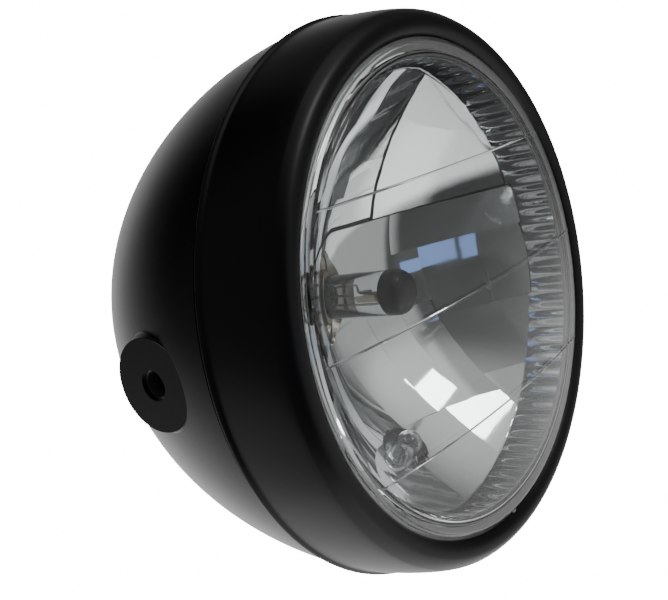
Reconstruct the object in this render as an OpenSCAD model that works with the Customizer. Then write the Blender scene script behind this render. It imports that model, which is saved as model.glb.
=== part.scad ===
// Round motorcycle headlight: a pressed steel bowl and rim, a clear domed lens, a stepped
// reflector with a fluted skirt, a two-filament main bulb and a small parking bulb.
// Millimetres, +Z up. The lamp shines along -Y. The origin is the middle of the axis of the
// two side bolts. Inside, sizes are worked out on the lamp's own axis: x to the right seen
// from in front, y up, and "fwd" forward of the rim's front lip, so that depths are negative.

/* [Bucket] */
// Greatest outside radius of the bucket
bucket_r = 98; // [96:0.5:101]
// Sheet thickness of the bucket
bucket_wall = 1.2; // [0.8:0.1:2]
// How much larger the belly curve's radius is, seen from the side
belly_more = 42; // [30:1:60]
// How much smaller the radius of the round back is
back_less = 11; // [6:1:20]
// Depth behind the lip at which the bucket is widest
belly_depth = 19; // [16:1:24]
// Depth of the two side bolts behind the lip
bolt_depth = 57; // [54:1:62]
// Distance that the front collar is set in, so that the rim covers it
collar_step = 2.6; // [2.2:0.1:3.2]
// Depth of the collar's front edge behind the lip
collar_depth = 15; // [14:0.5:19]

/* [Side pads] */
// Distance of the flat pad faces inside the bucket's greatest radius
pad_inset = 3.8; // [3:0.1:4.4]
// Radius of the flat face
pad_r = 15.5; // [13:0.5:18]
// Growth of the pad's radius from its face to its foot
pad_flare = 3; // [1:0.5:4]
// Height of the sloping flank
pad_height = 12; // [9:1:14]
// Thickness of the pad's face
pad_wall = 1.6; // [1.2:0.1:2.4]
// Radius of the bolt hole
bolt_hole_r = 5.05; // [4.8:0.05:5.6]
// Bore radius of the nut's thread
nut_bore_r = 4.4; // [4:0.1:4.6]
// Width across the flats of the weld nuts
nut_flats = 16; // [15:0.5:18]
// Height of the weld nuts
nut_height = 8; // [6:0.5:10]

/* [Cable inlet] */
// Angle of the inlet below the back's middle
inlet_angle = 32; // [20:1:45]
// Radius of the hole in the bucket
inlet_hole_r = 13; // [10:0.5:16]
// Radius of the grommet's bore
grommet_bore_r = 7; // [5:0.5:8]
// Reach of the grommet's lips over the edge of the hole
grommet_lip = 3.5; // [2.5:0.5:6]
// Thickness of each lip
grommet_lip_t = 2.2; // [1.5:0.1:3]

/* [Rim] */
// Distance that the front lip lies inside the bucket's greatest radius
lip_inset = 13; // [12:0.5:16]
// Sheet thickness of the rim
rim_wall = 1.2; // [0.8:0.1:1.4]
// Distance from the lip out to the crest of the front bead
bead_out = 4.5; // [3.5:0.1:5]
// Height of the bead forward of the lip
bead_fwd = 2.5; // [1.5:0.1:4]
// Depth of the rim's rear edge behind the lip
seam_depth = 27; // [26:0.5:29]
// Flare of the rear edge beyond the bucket
seam_flare = 1; // [0.4:0.1:1.4]

/* [Rim fixings] */
// Width of the hook and of the screw bracket
strap_w = 14; // [10:1:18]
// Thickness of both
strap_t = 1.2; // [1:0.1:1.6]
// Depth of the rim screw behind the lip
screw_depth = 40; // [39.5:0.5:44]
// Radius of the screw's shank
screw_r = 2.5; // [2:0.1:3]
// Radius of the screw's head
screw_head_r = 4.8; // [4:0.1:5.5]
// Height of the screw's head
screw_head_h = 2.6; // [2:0.1:3.4]
// Width of the leaf springs that hold the optic, in degrees
clip_angle = 12; // [8:1:20]
// Thickness of the leaf springs
clip_t = 0.8; // [0.6:0.1:1.2]

/* [Lens] */
// Height of the lens crown forward of the lip
lens_crown = 10; // [7:0.5:14]
// Height of the dome's edge forward of the lip
lens_edge = 2.3; // [2:0.1:3]
// Glass thickness
lens_t = 3.2; // [2.5:0.1:4]
// Gap all round between the raised dome and the lip
lens_gap = 2; // [1.5:0.1:3]
// Reach of the lens's flange beyond the lip
lens_flange = 4.5; // [3.5:0.1:5]
// Thickness of that flange
lens_flange_t = 2.5; // [2:0.1:3]
// Spacing of the thin moulded lines
lens_line_gap = 42; // [36:1:46]
// Width of the lines
lens_line_w = 0.7; // [0.5:0.1:1.2]
// Height of the lines above the glass
lens_line_h = 0.3; // [0.2:0.1:0.6]

/* [Reflector] */
// Depth of the bowl's front edge behind the lip
bowl_front_depth = 20; // [18:0.5:22]
// Depth of the bowl's bottom behind the lip
bowl_depth = 73; // [71:1:75]
// Distance of the bowl's front edge inside the lip
bowl_inset = 4; // [4:0.5:7]
// Thickness of the moulding, along the lamp's axis
bowl_t = 5; // [4.6:0.2:6]
// Width of the step between the bowl's edge and the fluted skirt
skirt_step = 0.5; // [0.3:0.1:1]
// Wall of the skirt outside the flutes
skirt_wall = 1.6; // [1.2:0.1:2]
// Number of flutes round the skirt
flute_count = 72; // [48:4:90]
// Radius of one flute
flute_r = 3; // [2.4:0.1:3.4]
// Depth that a flute cuts into the skirt
flute_deep = 1.4; // [0.8:0.1:1.6]
// Thickness of the front flange
flange_t = 2; // [1.6:0.1:2.6]
// Depth that the upper fields are set back
top_setback = 1.2; // [0:0.1:1.6]
// Height that the fields beside the bulb stand forward
side_forward = 1; // [0:0.1:1.6]
// Height of the upper ledge above the middle
ledge_up = 22; // [20:0.5:24]
// Depth of the lower ledge below the middle
ledge_down = 17; // [16:0.5:18.5]
// Radius of the bulb hole
bulb_hole_r = 19; // [18.6:0.2:20]
// Outside radius of the neck behind the bulb hole
neck_r = 24; // [23:0.5:26]
// Length of the neck behind the bowl's bottom
neck_len = 6; // [5:0.5:8]
// Distance of the collar that carries the boot outside the neck
spigot_out = 12; // [11:0.5:14]

/* [Main bulb] */
// Radius of the bulb's flange
bulb_flange_r = 21.5; // [20.5:0.1:22.5]
// Thickness of the flange
bulb_flange_t = 1.6; // [1.2:0.1:2]
// Radius of the metal cap in front of the flange
bulb_cap_r = 11; // [10:0.5:12.5]
// Length of that cap
bulb_cap_h = 13; // [10:0.5:15]
// Outside radius of the glass
glass_r = 8.4; // [7.8:0.1:9]
// Glass thickness
glass_t = 1; // [0.8:0.1:1.4]
// Reach of the glass tip forward of the flange
glass_reach = 55; // [52:1:57]
// Length of the black coat on the tip
coat_len = 8; // [5:0.5:10]
// Height of the lead wires off the axis
lead_off = 4; // [3.4:0.1:4.6]
// Wire radius
lead_r = 0.5; // [0.4:0.05:0.6]
// Distance of the dipped coil behind the glass tip
dipped_gap = 16.5; // [15:0.5:17.5]
// Length of the dipped coil
dipped_len = 6; // [5:0.5:6.5]
// Distance of the driving coil behind the glass tip
driving_gap = 27; // [26:0.5:28]
// Length of the driving coil
driving_len = 4.5; // [3.5:0.5:5]
// Radius of the coiled filaments
coil_r = 0.8; // [0.6:0.1:1]
// Radius of the cup under the dipped filament
shield_r = 3.2; // [2.8:0.1:3.2]
// Wire radius of the retaining clip
clip_wire_r = 0.9; // [0.7:0.05:1.1]

/* [Parking bulb] */
// Distance of the parking bulb's hole inside the bowl's front edge
park_inset = 19; // [17.5:0.5:20.5]
// Radius of its hole
park_hole_r = 10; // [9:0.5:11]
// Radius of its glass
park_glass_r = 5; // [4:0.5:5.5]
// Length of its glass
park_glass_len = 20; // [16:1:24]

/* [Hidden] */
$fn = 96;

// Running clearance between pieces that are only laid against each other
seat_gap = 0.2;
// Overshoot of a cut past the face that it opens
past = 1;
// Radius that is certain to lie outside the lamp
far = 150;

// Points of a cubic curve from a to d, with handles b and c
function curve(a, b, c, d, steps) = [
    for (i = [0:steps]) let (t = i / steps, u = 1 - t)
        u * u * u * a + 3 * u * u * t * b + 3 * u * t * t * c + t * t * t * d
];

// Points of an arc about c, from angle a0 to a1
function arc(c, r, a0, a1, steps) = [
    for (i = [0:steps]) let (a = a0 + (a1 - a0) * i / steps) c + r * [cos(a), sin(a)]
];

// All but the last point of a list
function without_last(list) = [for (i = [0:len(list) - 2]) list[i]];

// The same points in the opposite order
function reversed(list) = [for (i = [len(list) - 1:-1:0]) list[i]];

// Unit vector along v
function unit(v) = v / norm(v);

// Each point of a line moved to its left by t
function offset_line(line, t) = [
    for (i = [0:len(line) - 1])
        let (
            a = line[max(i - 1, 0)],
            b = line[min(i + 1, len(line) - 1)],
            along = unit(b - a)
        )
        line[i] + t * [along[1], -along[0]]
];

// The lamp's own axis: local z points forward out of the lens, local y points up
module on_lamp_axis() translate([0, -bolt_depth, 0]) rotate([90, 0, 0]) children();

// A turned solid on the lamp's axis, from [radius, forward] points
module turned(points) on_lamp_axis() rotate_extrude() polygon(points);

// A bar along the lamp's axis between two forward positions
module bar(r, from, to) translate([0, 0, from]) cylinder(h = to - from, r = r);

// The bucket's outline is two arcs: a belly with a large radius, and a back whose middle
// lies on the axis, tangent to it
belly_r = bucket_r + belly_more;
back_r = bucket_r - back_less;
pad_x = bucket_r - pad_inset;
lip_r = bucket_r - lip_inset;
belly_mid = [bucket_r - belly_r, -belly_depth];
back_fwd = -belly_depth
    - sqrt(pow(belly_r - back_r, 2) - pow(belly_r - bucket_r, 2));
join_angle = asin((-belly_depth - back_fwd) / (belly_r - back_r));
// Depth at which the bowl starts behind the rim
shoulder_depth = seam_depth + 1.8;
collar_r = bucket_r - collar_step;
// The hook and the screw bracket pass inside the collar at this distance from the axis
strap_r = collar_r - bucket_wall - 2 * seat_gap;

// Outside radius of the belly at a depth
function belly_at(depth) =
    belly_mid[0] + sqrt(pow(belly_r, 2) - pow(depth - belly_depth, 2));

// The bowl's outline from a start depth round to the tip, set in by a distance
function bowl_line(start, inset) = concat(
    without_last(arc(belly_mid, belly_r - inset,
                     -asin((start - belly_depth) / (belly_r - inset)), -join_angle, 14)),
    arc([0, back_fwd], back_r - inset, -join_angle, -90, 20)
);

module bucket_outside() turned(concat(
    [[0, -collar_depth], [collar_r, -collar_depth], [collar_r, -seam_depth - 0.6]],
    bowl_line(shoulder_depth, 0)
));

module bucket_inside() turned(concat(
    [
        [0, -collar_depth + past],
        [collar_r - bucket_wall, -collar_depth + past],
        [collar_r - bucket_wall, -seam_depth - 0.6 - bucket_wall]
    ],
    bowl_line(shoulder_depth + bucket_wall, bucket_wall)
));

// A flat coined into the bowl faces along the local z axis. Its sheet is a plate behind the
// face, with an upstand where the face lies below the bowl
module coined_plate(face, r, wall) translate([0, 0, face - wall])
    cylinder(h = far, r = r + wall);

module coined_space(face, r) translate([0, 0, face]) cylinder(h = far, r = r);

module pad_flank(inset) translate([0, 0, pad_x - pad_height - inset])
    cylinder(h = pad_height, r1 = pad_r + pad_flare - inset, r2 = pad_r - inset);

// Both sides: side is -1 for -X and 1 for +X, and local z points outwards
module on_side(side) rotate([0, 90 * side, 0]) children();

// The rim screw: local z points down and outwards
module on_screw() translate([0, screw_depth - bolt_depth, 0]) rotate([180, 0, 0]) children();

// The dent for the screw's head, deep enough for the bracket to reach it from inside
dent_face = strap_r + bucket_wall;
dent_r = screw_head_r + 2.4;

// The cable inlet: local z points out of the back of the bowl from the back's middle
module on_inlet()
    translate([0, -back_fwd - bolt_depth, 0]) rotate([-90 - inlet_angle, 0, 0]) children();

module bucket() color("#1b1c1e") difference() {
    union() {
        bucket_outside();
        for (side = [-1, 1]) on_side(side) pad_flank(0);
    }
    difference() {
        union() {
            bucket_inside();
            for (side = [-1, 1]) on_side(side) pad_flank(pad_wall);
        }
        for (side = [-1, 1]) on_side(side) coined_plate(pad_x, pad_r, pad_wall);
        on_screw() coined_plate(dent_face, dent_r, bucket_wall);
    }
    for (side = [-1, 1]) on_side(side) {
        coined_space(pad_x, pad_r);
        translate([0, 0, pad_x / 2]) cylinder(h = far, r = bolt_hole_r);
    }
    on_screw() {
        coined_space(dent_face, dent_r);
        translate([0, 0, dent_face / 2]) cylinder(h = far, r = screw_r + 0.3);
    }
    on_inlet() translate([0, 0, back_r / 2]) cylinder(h = far, r = inlet_hole_r);
}

module side_weld_nuts() color("#8d8f92")
    for (side = [-1, 1]) on_side(side)
        translate([0, 0, pad_x - pad_wall - nut_height]) difference() {
            cylinder(h = nut_height, r = nut_flats / sqrt(3), $fn = 6);
            translate([0, 0, -past]) cylinder(h = nut_height + 2 * past, r = nut_bore_r);
        }

module cable_grommet() color("#141414") on_inlet() {
    inner = back_r - bucket_wall;
    rotate_extrude() polygon([
        [grommet_bore_r, inner - grommet_lip_t - 0.6],
        [inlet_hole_r + grommet_lip - 0.5, inner - grommet_lip_t - 1.2],
        [inlet_hole_r + grommet_lip, inner - 1.7],
        [inlet_hole_r - 0.1, inner - 1.2],
        [inlet_hole_r - 0.1, back_r + 0.1],
        [inlet_hole_r + grommet_lip, back_r + 0.1],
        [inlet_hole_r + grommet_lip - 0.8, back_r + grommet_lip_t],
        [grommet_bore_r + 1, back_r + grommet_lip_t + 1],
        [grommet_bore_r, back_r + grommet_lip_t + 0.4]
    ]);
}

// The rim's outside: lip, rolled bead, long outer band and flared rear edge
lip_point = [lip_r, 0.3];
crest_point = [lip_r + bead_out, bead_fwd];
shoulder_point = [bucket_r - collar_step - 1, -1];
band_end = [bucket_r, -seam_depth + 2];
rim_line = concat(
    without_last(curve(lip_point, lip_point + [1, 1.4],
                       crest_point - [1.9, 0], crest_point, 6)),
    without_last(curve(crest_point, crest_point + [2.4, 0],
                       shoulder_point + [-1.2, 1.9], shoulder_point, 8)),
    curve(shoulder_point, shoulder_point + [1.2, -2.5],
          band_end + [-0.8, 12], band_end, 14),
    [
        band_end + [seam_flare / 2, -0.5],
        band_end + [seam_flare, -1.2],
        [band_end[0] + seam_flare, -seam_depth]
    ]
);
rim_inner_line = offset_line(rim_line, rim_wall);

// Inside radius of the rim's band at a depth
function rim_inside(depth) =
    lookup(-depth, [for (p = reversed(rim_inner_line)) if (p[1] < -1) [p[1], p[0]]]);

module rim() color("#1b1c1e") turned(concat(rim_line, reversed(rim_inner_line)));

// Hook and bracket are straps of sheet, drawn as a side view and given their width.
// They bulge away from the round rim by this much over half their width
strap_sag = lip_r - sqrt(pow(lip_r, 2) - pow(strap_w / 2, 2));
weld_from = 5;
weld_to = 11.5;
strap_weld = [
    [rim_inside(weld_from) - strap_sag - seat_gap, -weld_from],
    [rim_inside(weld_to) - strap_sag - seat_gap, -weld_to]
];

// A strap: local x is the distance from the axis, local y is forward
module strap(line) translate([0, 0, -strap_w / 2]) linear_extrude(height = strap_w)
    polygon(concat(line, reversed(offset_line(line, strap_t))));

// Up is the side of the hook, down that of the screw
module strap_up(up) on_lamp_axis() rotate([0, -90, 0])
    multmatrix([[0, 1, 0, 0], [up, 0, 0, 0], [0, 0, 1, 0], [0, 0, 0, 1]]) children();

module rim_hook() color("#8d8f92") strap_up(1) strap(concat(
    strap_weld,
    [
        [strap_r - 0.6, -collar_depth + 0.4],
        [strap_r - 0.6, -collar_depth - 5],
        [strap_r, -collar_depth - 7],
        [strap_r, -collar_depth - 9]
    ]
));

module rim_screw_bracket() color("#8d8f92") difference() {
    strap_up(-1) strap(concat(
        strap_weld,
        [[strap_r, -collar_depth + 0.4], [strap_r, -screw_depth - 7]]
    ));
    on_screw() cylinder(h = far, r = screw_r + 0.3);
}

screw_nut_h = 4;

module rim_screw_nut() color("#8d8f92") on_screw()
    translate([0, 0, strap_r - strap_t - screw_nut_h]) difference() {
        cylinder(h = screw_nut_h, r = 8 / sqrt(3), $fn = 6);
        translate([0, 0, -past]) cylinder(h = screw_nut_h + 2 * past, r = screw_r + 0.05);
    }

module rim_screw() color("#2a2b2d") on_screw() difference() {
    union() {
        bar(screw_r, strap_r - strap_t - screw_nut_h - 1.5, dent_face + 0.5);
        translate([0, 0, dent_face]) rotate_extrude() polygon([
            [0, 0], [screw_head_r, 0], [screw_head_r, screw_head_h * 0.4],
            [screw_head_r * 0.8, screw_head_h * 0.85], [screw_head_r * 0.5, screw_head_h],
            [0, screw_head_h]
        ]);
    }
    for (turn = [0, 90]) rotate(turn)
        translate([-2.4, -0.5, dent_face + screw_head_h - 1.4]) cube([4.8, 1, 1.4 + past]);
}

// The lens: a spherical dome inside the lip, a stepped border and a flange behind the lip
dome_edge_r = lip_r - lens_gap;
dome_rise = lens_crown - lens_edge;
lens_dome_r = (pow(dome_edge_r, 2) + pow(dome_rise, 2)) / (2 * dome_rise);
lens_mid = lens_crown - lens_dome_r;
flange_front = rim_inner_line[0][1] - 2 * seat_gap;
flange_back = flange_front - lens_flange_t;
optic_r = lip_r + lens_flange;

// Forward position of a sphere about the lens's middle, at a radius from the axis
function dome_at(r, dome) = lens_mid + sqrt(pow(dome, 2) - pow(r, 2));

// The dome's arc from the axis out to a radius
function dome_line(r, dome) = arc([0, lens_mid], dome, 90, acos(r / dome), 12);

module lens_blank() turned(concat(
    dome_line(dome_edge_r - 0.6, lens_dome_r),
    [
        [dome_edge_r, dome_at(dome_edge_r, lens_dome_r) - 0.6],
        [dome_edge_r + 0.1, 1],
        [dome_edge_r + 0.7, 0.7],
        [dome_edge_r + 0.8, -0.3],
        [dome_edge_r + 1.4, -0.6],
        [dome_edge_r + 1.5, flange_front],
        [optic_r, flange_front],
        [optic_r, flange_back],
        [dome_edge_r - lens_t, flange_back]
    ],
    reversed(dome_line(dome_edge_r - lens_t, lens_dome_r - lens_t))
));

// Three straight lines and a centre mark stand a little above the glass
module lens_lines() on_lamp_axis() intersection() {
    translate([0, 0, lens_mid]) difference() {
        sphere(r = lens_dome_r + lens_line_h);
        sphere(r = lens_dome_r - 0.2);
    }
    union() {
        for (row = [-1:1]) intersection() {
            translate([-far, row * lens_line_gap - lens_line_w / 2, -past])
                cube([2 * far, lens_line_w, far]);
            bar(dome_edge_r - 1, -past, far);
        }
        difference() {
            bar(1.6, -past, far);
            bar(1, -2 * past, far + past);
        }
        translate([-lens_line_w / 2, 1.4, -past]) cube([lens_line_w, 4.2, far]);
        translate([-lens_line_w / 2, -5.6, -past]) cube([lens_line_w, 4.2, far]);
    }
}

// A small moulded nub at the bottom shows which way up the lens goes
module lens_nub() on_lamp_axis()
    translate([0, -(dome_edge_r + 0.9), flange_front - 0.5]) bar(1.1, 0, 2.4);

module lens() color([0.86, 0.9, 0.92, 0.45]) {
    lens_blank();
    lens_lines();
    lens_nub();
}

seal_t = 0.8;
reflector_front = flange_back - seal_t;

module lens_seal() color("#3a3b3c") turned([
    [dome_edge_r + 0.5, reflector_front],
    [optic_r - 0.8, reflector_front],
    [optic_r - 0.8, flange_back],
    [dome_edge_r + 0.5, flange_back]
]);

bowl_r = lip_r - bowl_inset;
skirt_r = bowl_r + skirt_step;
neck_depth = bowl_depth + neck_len;
spigot_r = neck_r + spigot_out;
// Focal length of the base curve, a paraboloid
focal = pow(bowl_r, 2) / (4 * (bowl_depth - bowl_front_depth));
park_down = bowl_r - park_inset;

// Forward position of the bowl's base curve at a radius
function bowl_at(r) = pow(r, 2) / (4 * focal) - bowl_depth;

bowl_front = bowl_at(bowl_r);

// Columns and rows that divide the mirror into fields, in shares of the bowl's radius
top_columns = bowl_r * [0.149, 0.28, 0.435];
side_columns = bowl_r * [0.224, 0.509, 0.621];
low_columns = bowl_r * [0.087, 0.311, 0.478];
foot_column = bowl_r * 0.36;
row_top = bowl_r * 0.571;
row_mid = bowl_r * 0.422;
row_crease = bowl_r * 0.071;
row_side = bowl_r * -0.298;
row_low = bowl_r * -0.621;
row_foot = bowl_r * -0.702;

// The fields: [x from, x to, y from, y to, height]. The right half is mirrored to the left
fields_middle = [
    [-top_columns[0], top_columns[0], ledge_up, far, -top_setback],
    [-side_columns[0], side_columns[0], -ledge_down, ledge_up, side_forward],
    [-low_columns[0], low_columns[0], row_foot, -ledge_down, 0]
];
fields_right = [
    [top_columns[0], top_columns[1], ledge_up, row_mid, -top_setback],
    [top_columns[0], top_columns[1], row_mid, far, -top_setback],
    [top_columns[1], top_columns[2], ledge_up, row_top, -top_setback],
    [top_columns[1], top_columns[2], row_top, far, -top_setback],
    [top_columns[2], far, ledge_up, far, 0],
    [side_columns[0], side_columns[1], row_crease, ledge_up, side_forward],
    [side_columns[1], far, row_crease, ledge_up, side_forward],
    [side_columns[0], side_columns[2], -ledge_down, row_crease, side_forward],
    [side_columns[2], far, row_side, row_crease, side_forward],
    [low_columns[0], low_columns[1], row_foot, -ledge_down, 0],
    [low_columns[1], low_columns[2], row_foot, -ledge_down, 0],
    [low_columns[2], side_columns[2], row_foot, -ledge_down, 0],
    [side_columns[2], far, row_low, row_side, 0],
    [side_columns[2], far, -far, row_low, 0],
    [0, foot_column, -far, row_foot, 0],
    [foot_column, side_columns[2], -far, row_foot, 0]
];

// The end of a field that lies inside the bowl, for finding its middle
function inside_bowl(a, other) =
    sign(a) * min(abs(a), sqrt(max(pow(bowl_r, 2) - pow(other, 2), 0)));

function nearer(a, b) = abs(a) < abs(b) ? a : b;

// Middle of a field, left out where it passes the bowl's edge
function field_middle(f) =
    let (
        x_far = inside_bowl(f[1], nearer(f[2], f[3])),
        y_low = inside_bowl(f[2], nearer(f[0], f[1])),
        y_high = inside_bowl(f[3], nearer(f[0], f[1]))
    )
    [(f[0] + x_far) / 2, (y_low + y_high) / 2];

// One field: a column of space that ends at the back in a sphere, which runs along the base
// curve in the field's middle, at the field's height above it
module field(f) {
    mid = field_middle(f);
    r = norm(mid);
    slope = r / (2 * focal);
    curvature_r = 2 * focal * (1 + slope * slope);
    lean = r > 0 ? atan(slope) : 0;
    away = r > 0 ? -mid / r : [0, 0];
    centre = concat(
        mid + curvature_r * sin(lean) * away,
        [bowl_at(r) + f[4] + curvature_r * cos(lean)]
    );
    intersection() {
        translate([f[0], f[2], -far]) cube([f[1] - f[0], f[3] - f[2], 2 * far]);
        translate(centre) sphere(r = curvature_r, $fn = 180);
    }
}

module mirror_space() intersection() {
    bar(bowl_r, -far, bowl_front + past);
    union() {
        for (f = fields_middle) field(f);
        for (f = fields_right) {
            field(f);
            mirror([1, 0, 0]) field(f);
        }
    }
}

// The moulding behind the mirror: the base curve set back, with the skirt and the flange
module reflector_body() rotate_extrude() polygon(concat(
    [for (i = [0:14]) let (r = (bowl_r + 3) * i / 14) [r, bowl_at(r) - bowl_t]],
    [
        [skirt_r + flute_deep + skirt_wall, bowl_front - 1],
        [skirt_r + flute_deep + skirt_wall, reflector_front - flange_t],
        [optic_r, reflector_front - flange_t],
        [optic_r, reflector_front],
        [0, reflector_front]
    ]
));

module skirt_bore() translate([0, 0, bowl_front]) linear_extrude(height = -bowl_front + past)
    union() {
        circle(r = skirt_r);
        for (i = [0:flute_count - 1]) rotate(360 * (i + 0.5) / flute_count)
            translate([skirt_r + flute_deep - flute_r, 0]) circle(r = flute_r);
    }

// The parking bulb's axis stands square to the bowl at its hole: local z points into the bowl
park_slope = park_down / (2 * focal);
park_lean = atan(park_slope);

module on_parking_hole()
    translate([0, -park_down, bowl_at(park_down)]) rotate([-park_lean, 0, 0]) children();

park_neck_r = park_hole_r + 2.5;
park_neck_h = 9;

module reflector() color("#c9cdd0") on_lamp_axis() difference() {
    union() {
        reflector_body();
        bar(neck_r, -neck_depth, bowl_at(neck_r));
        difference() {
            bar(spigot_r, -neck_depth + spigot_drop, bowl_at(spigot_r));
            bar(spigot_r - 2, -neck_depth - past, -neck_depth + neck_len + 3);
        }
        on_parking_hole() bar(park_neck_r, -park_neck_h, 0);
        for (side = [-1, 1]) translate([side * ear_x, 0, 0])
            bar(ear_r, -neck_depth, bowl_at(ear_x));
    }
    mirror_space();
    skirt_bore();
    bar(bulb_hole_r, -far, 0);
    on_parking_hole() bar(park_hole_r, -far, far / 2);
    for (side = [-1, 1]) translate([side * ear_x, 0, -neck_depth - past])
        cylinder(h = ear_screw_len + 2 * past, r = ear_screw_r + 0.05);
}

// The boot's collar ends this far in front of the neck's rear face
spigot_drop = 4;

// Two ears beside the neck take the screws that hold the bulb's wire clip
ear_x = neck_r + 3;
ear_r = 4;
ear_screw_r = 1.5;
ear_screw_len = 5;

clip_turns = [45, 135, 225, 315];
clip_top = -10.5;
clip_r = rim_inside(-clip_top) - 1.5 * seat_gap;
clip_seat = reflector_front - flange_t - 0.05;

module optic_clips() color("#9a9c9f") on_lamp_axis()
    for (turn = clip_turns) rotate(turn - clip_angle / 2) rotate_extrude(angle = clip_angle)
        polygon([
            [optic_r - 4, clip_seat],
            [optic_r + 0.6, clip_seat],
            [clip_r, clip_top],
            [clip_r, clip_top - 2],
            [clip_r - clip_t, clip_top - 2],
            [clip_r - clip_t, clip_top],
            [optic_r + 0.2, clip_seat - clip_t],
            [optic_r - 4, clip_seat - clip_t]
        ]);

// The main bulb: the flange lies on the neck's rear face, the glass reaches forward
flange_fwd = -neck_depth;
cap_front = flange_fwd + bulb_cap_h;
glass_tip = flange_fwd + glass_reach;
glass_back = cap_front - 6;
// Thickness of the tube's solid foot
glass_foot_t = 6;
// Height of the step that centres the bulb in its hole
cap_foot = 2.5;

module bulb_base() color("#b9bbbd") on_lamp_axis() difference() {
    union() {
        bar(bulb_flange_r, flange_fwd - bulb_flange_t, flange_fwd);
        bar(bulb_hole_r - 3 * seat_gap, flange_fwd - bulb_flange_t, flange_fwd + cap_foot);
        bar(bulb_cap_r, flange_fwd - bulb_flange_t, cap_front);
        for (turn = [90, 210, 330]) rotate(turn)
            translate([bulb_flange_r - 2, -4, flange_fwd - bulb_flange_t])
                cube([3.5, 8, bulb_flange_t]);
    }
    bar(glass_r + 0.05, glass_back, 0);
    bar(core_r + 0.05, -far, flange_fwd + cap_foot + 0.1);
}

module glass_outline(r, front, back) rotate_extrude() polygon(concat(
    [[0, back], [r, back]],
    arc([r - 5, front - 5], 5, 0, 90, 8),
    [[0, front]]
));

module bulb_glass() on_lamp_axis() {
    color([0.9, 0.93, 0.95, 0.5]) difference() {
        glass_outline(glass_r, glass_tip, glass_back);
        glass_outline(glass_r - glass_t, glass_tip - 1.6 * glass_t, glass_back + glass_foot_t);
        bar(glass_r + past, glass_tip - coat_len, 0);
    }
    color("#161616") intersection() {
        difference() {
            glass_outline(glass_r, glass_tip, glass_back);
            glass_outline(glass_r - glass_t, glass_tip - 1.6 * glass_t, glass_back + glass_foot_t);
        }
        bar(glass_r + past, glass_tip - coat_len, 0);
    }
}

// The wires run from the glass foot to the coils and the cup
coil_up = 0.9;
driving_to = glass_tip - driving_gap;
driving_from = driving_to - driving_len;
dipped_to = glass_tip - dipped_gap;
dipped_from = dipped_to - dipped_len;
shield_from = dipped_from - 0.5;
shield_to = dipped_to + 3;
wire_root = glass_back + glass_foot_t - 1;

module cross_wire(y_from, y_to, fwd)
    translate([0, y_from, fwd]) rotate([-90, 0, 0]) cylinder(h = y_to - y_from, r = lead_r);

module bulb_leads() color("#a7a18c") on_lamp_axis() {
    translate([0, lead_off, 0]) bar(lead_r, wire_root, dipped_from - 0.2);
    cross_wire(coil_up, lead_off + lead_r, dipped_from - lead_r);
    translate([0, -lead_off, 0]) bar(lead_r, wire_root, shield_to - 1);
    bar(lead_r, wire_root, driving_from);
    cross_wire(-lead_off, 0, driving_to + lead_r);
}

module dipped_filament() color("#6f6a5d") on_lamp_axis()
    translate([0, coil_up, 0]) bar(coil_r, dipped_from, dipped_to);

module driving_filament() color("#6f6a5d") on_lamp_axis() bar(coil_r, driving_from, driving_to);

module dipped_beam_shield() color("#8e8a7c") on_lamp_axis() {
    difference() {
        bar(shield_r, shield_from, shield_to);
        bar(shield_r - 0.4, shield_from - past, shield_to - 0.5);
        translate([-far, 0.2, -far]) cube(2 * far);
    }
    translate([0, coil_up, 0]) bar(0.35, dipped_to, shield_to);
    translate([-0.4, -0.2, shield_to - 0.5]) cube([0.8, coil_up + 0.6, 0.5]);
}

// The insulator: a disc behind the flange and a core that reaches through it
insulator_h = 7;
insulator_r = bulb_cap_r + 1.5;
core_r = bulb_cap_r - 2;
insulator_back = flange_fwd - bulb_flange_t - insulator_h;

module bulb_insulator() color("#2b2623") on_lamp_axis() {
    bar(core_r, insulator_back, flange_fwd + cap_foot);
    bar(insulator_r, insulator_back, flange_fwd - bulb_flange_t);
}

// Three blades stand in an open square: top, left and right
blade_len = 14;
blade_off = 7.5;

module bulb_terminals() color("#b5a46a") on_lamp_axis()
    translate([0, 0, insulator_back - blade_len]) {
        translate([-4, blade_off - 0.4, 0]) cube([8, 0.8, blade_len]);
        for (side = [-1, 1]) translate([side * blade_off - 0.4, -4, 0])
            cube([0.8, 8, blade_len]);
    }

// The wire clip: two legs across the flange, bent round at both ends to an eye on each ear
clip_fwd = flange_fwd - bulb_flange_t - clip_wire_r;
leg_off = 15;
clip_bend_r = 4;
eye_r = ear_screw_r + clip_wire_r + 0.1;

// A straight wire: local z is turned along x or y first
module wire(len) cylinder(h = len, r = clip_wire_r);

module bent_wire(r, angle) rotate_extrude(angle = angle) translate([r, 0]) circle(r = clip_wire_r);

// A quarter of the clip, from the middle of a leg to the eye
module clip_quarter() {
    translate([0, leg_off, 0]) rotate([0, 90, 0]) wire(ear_x - clip_bend_r);
    translate([ear_x - clip_bend_r, leg_off - clip_bend_r, 0]) bent_wire(clip_bend_r, 90);
    translate([ear_x, eye_r - clip_wire_r / 2, 0]) rotate([-90, 0, 0])
        wire(leg_off - clip_bend_r - eye_r + clip_wire_r / 2);
}

module bulb_clip() color("#a9abad") on_lamp_axis() translate([0, 0, clip_fwd]) {
    for (side = [0, 1], end = [0, 1]) mirror([end, 0, 0]) mirror([0, side, 0]) clip_quarter();
    for (end = [-1, 1]) translate([end * ear_x, 0, 0]) bent_wire(eye_r, 360);
}

clip_head_r = ear_screw_r + 1.3;
clip_head_h = 2;
clip_head_back = clip_fwd - clip_wire_r - clip_head_h;

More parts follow.
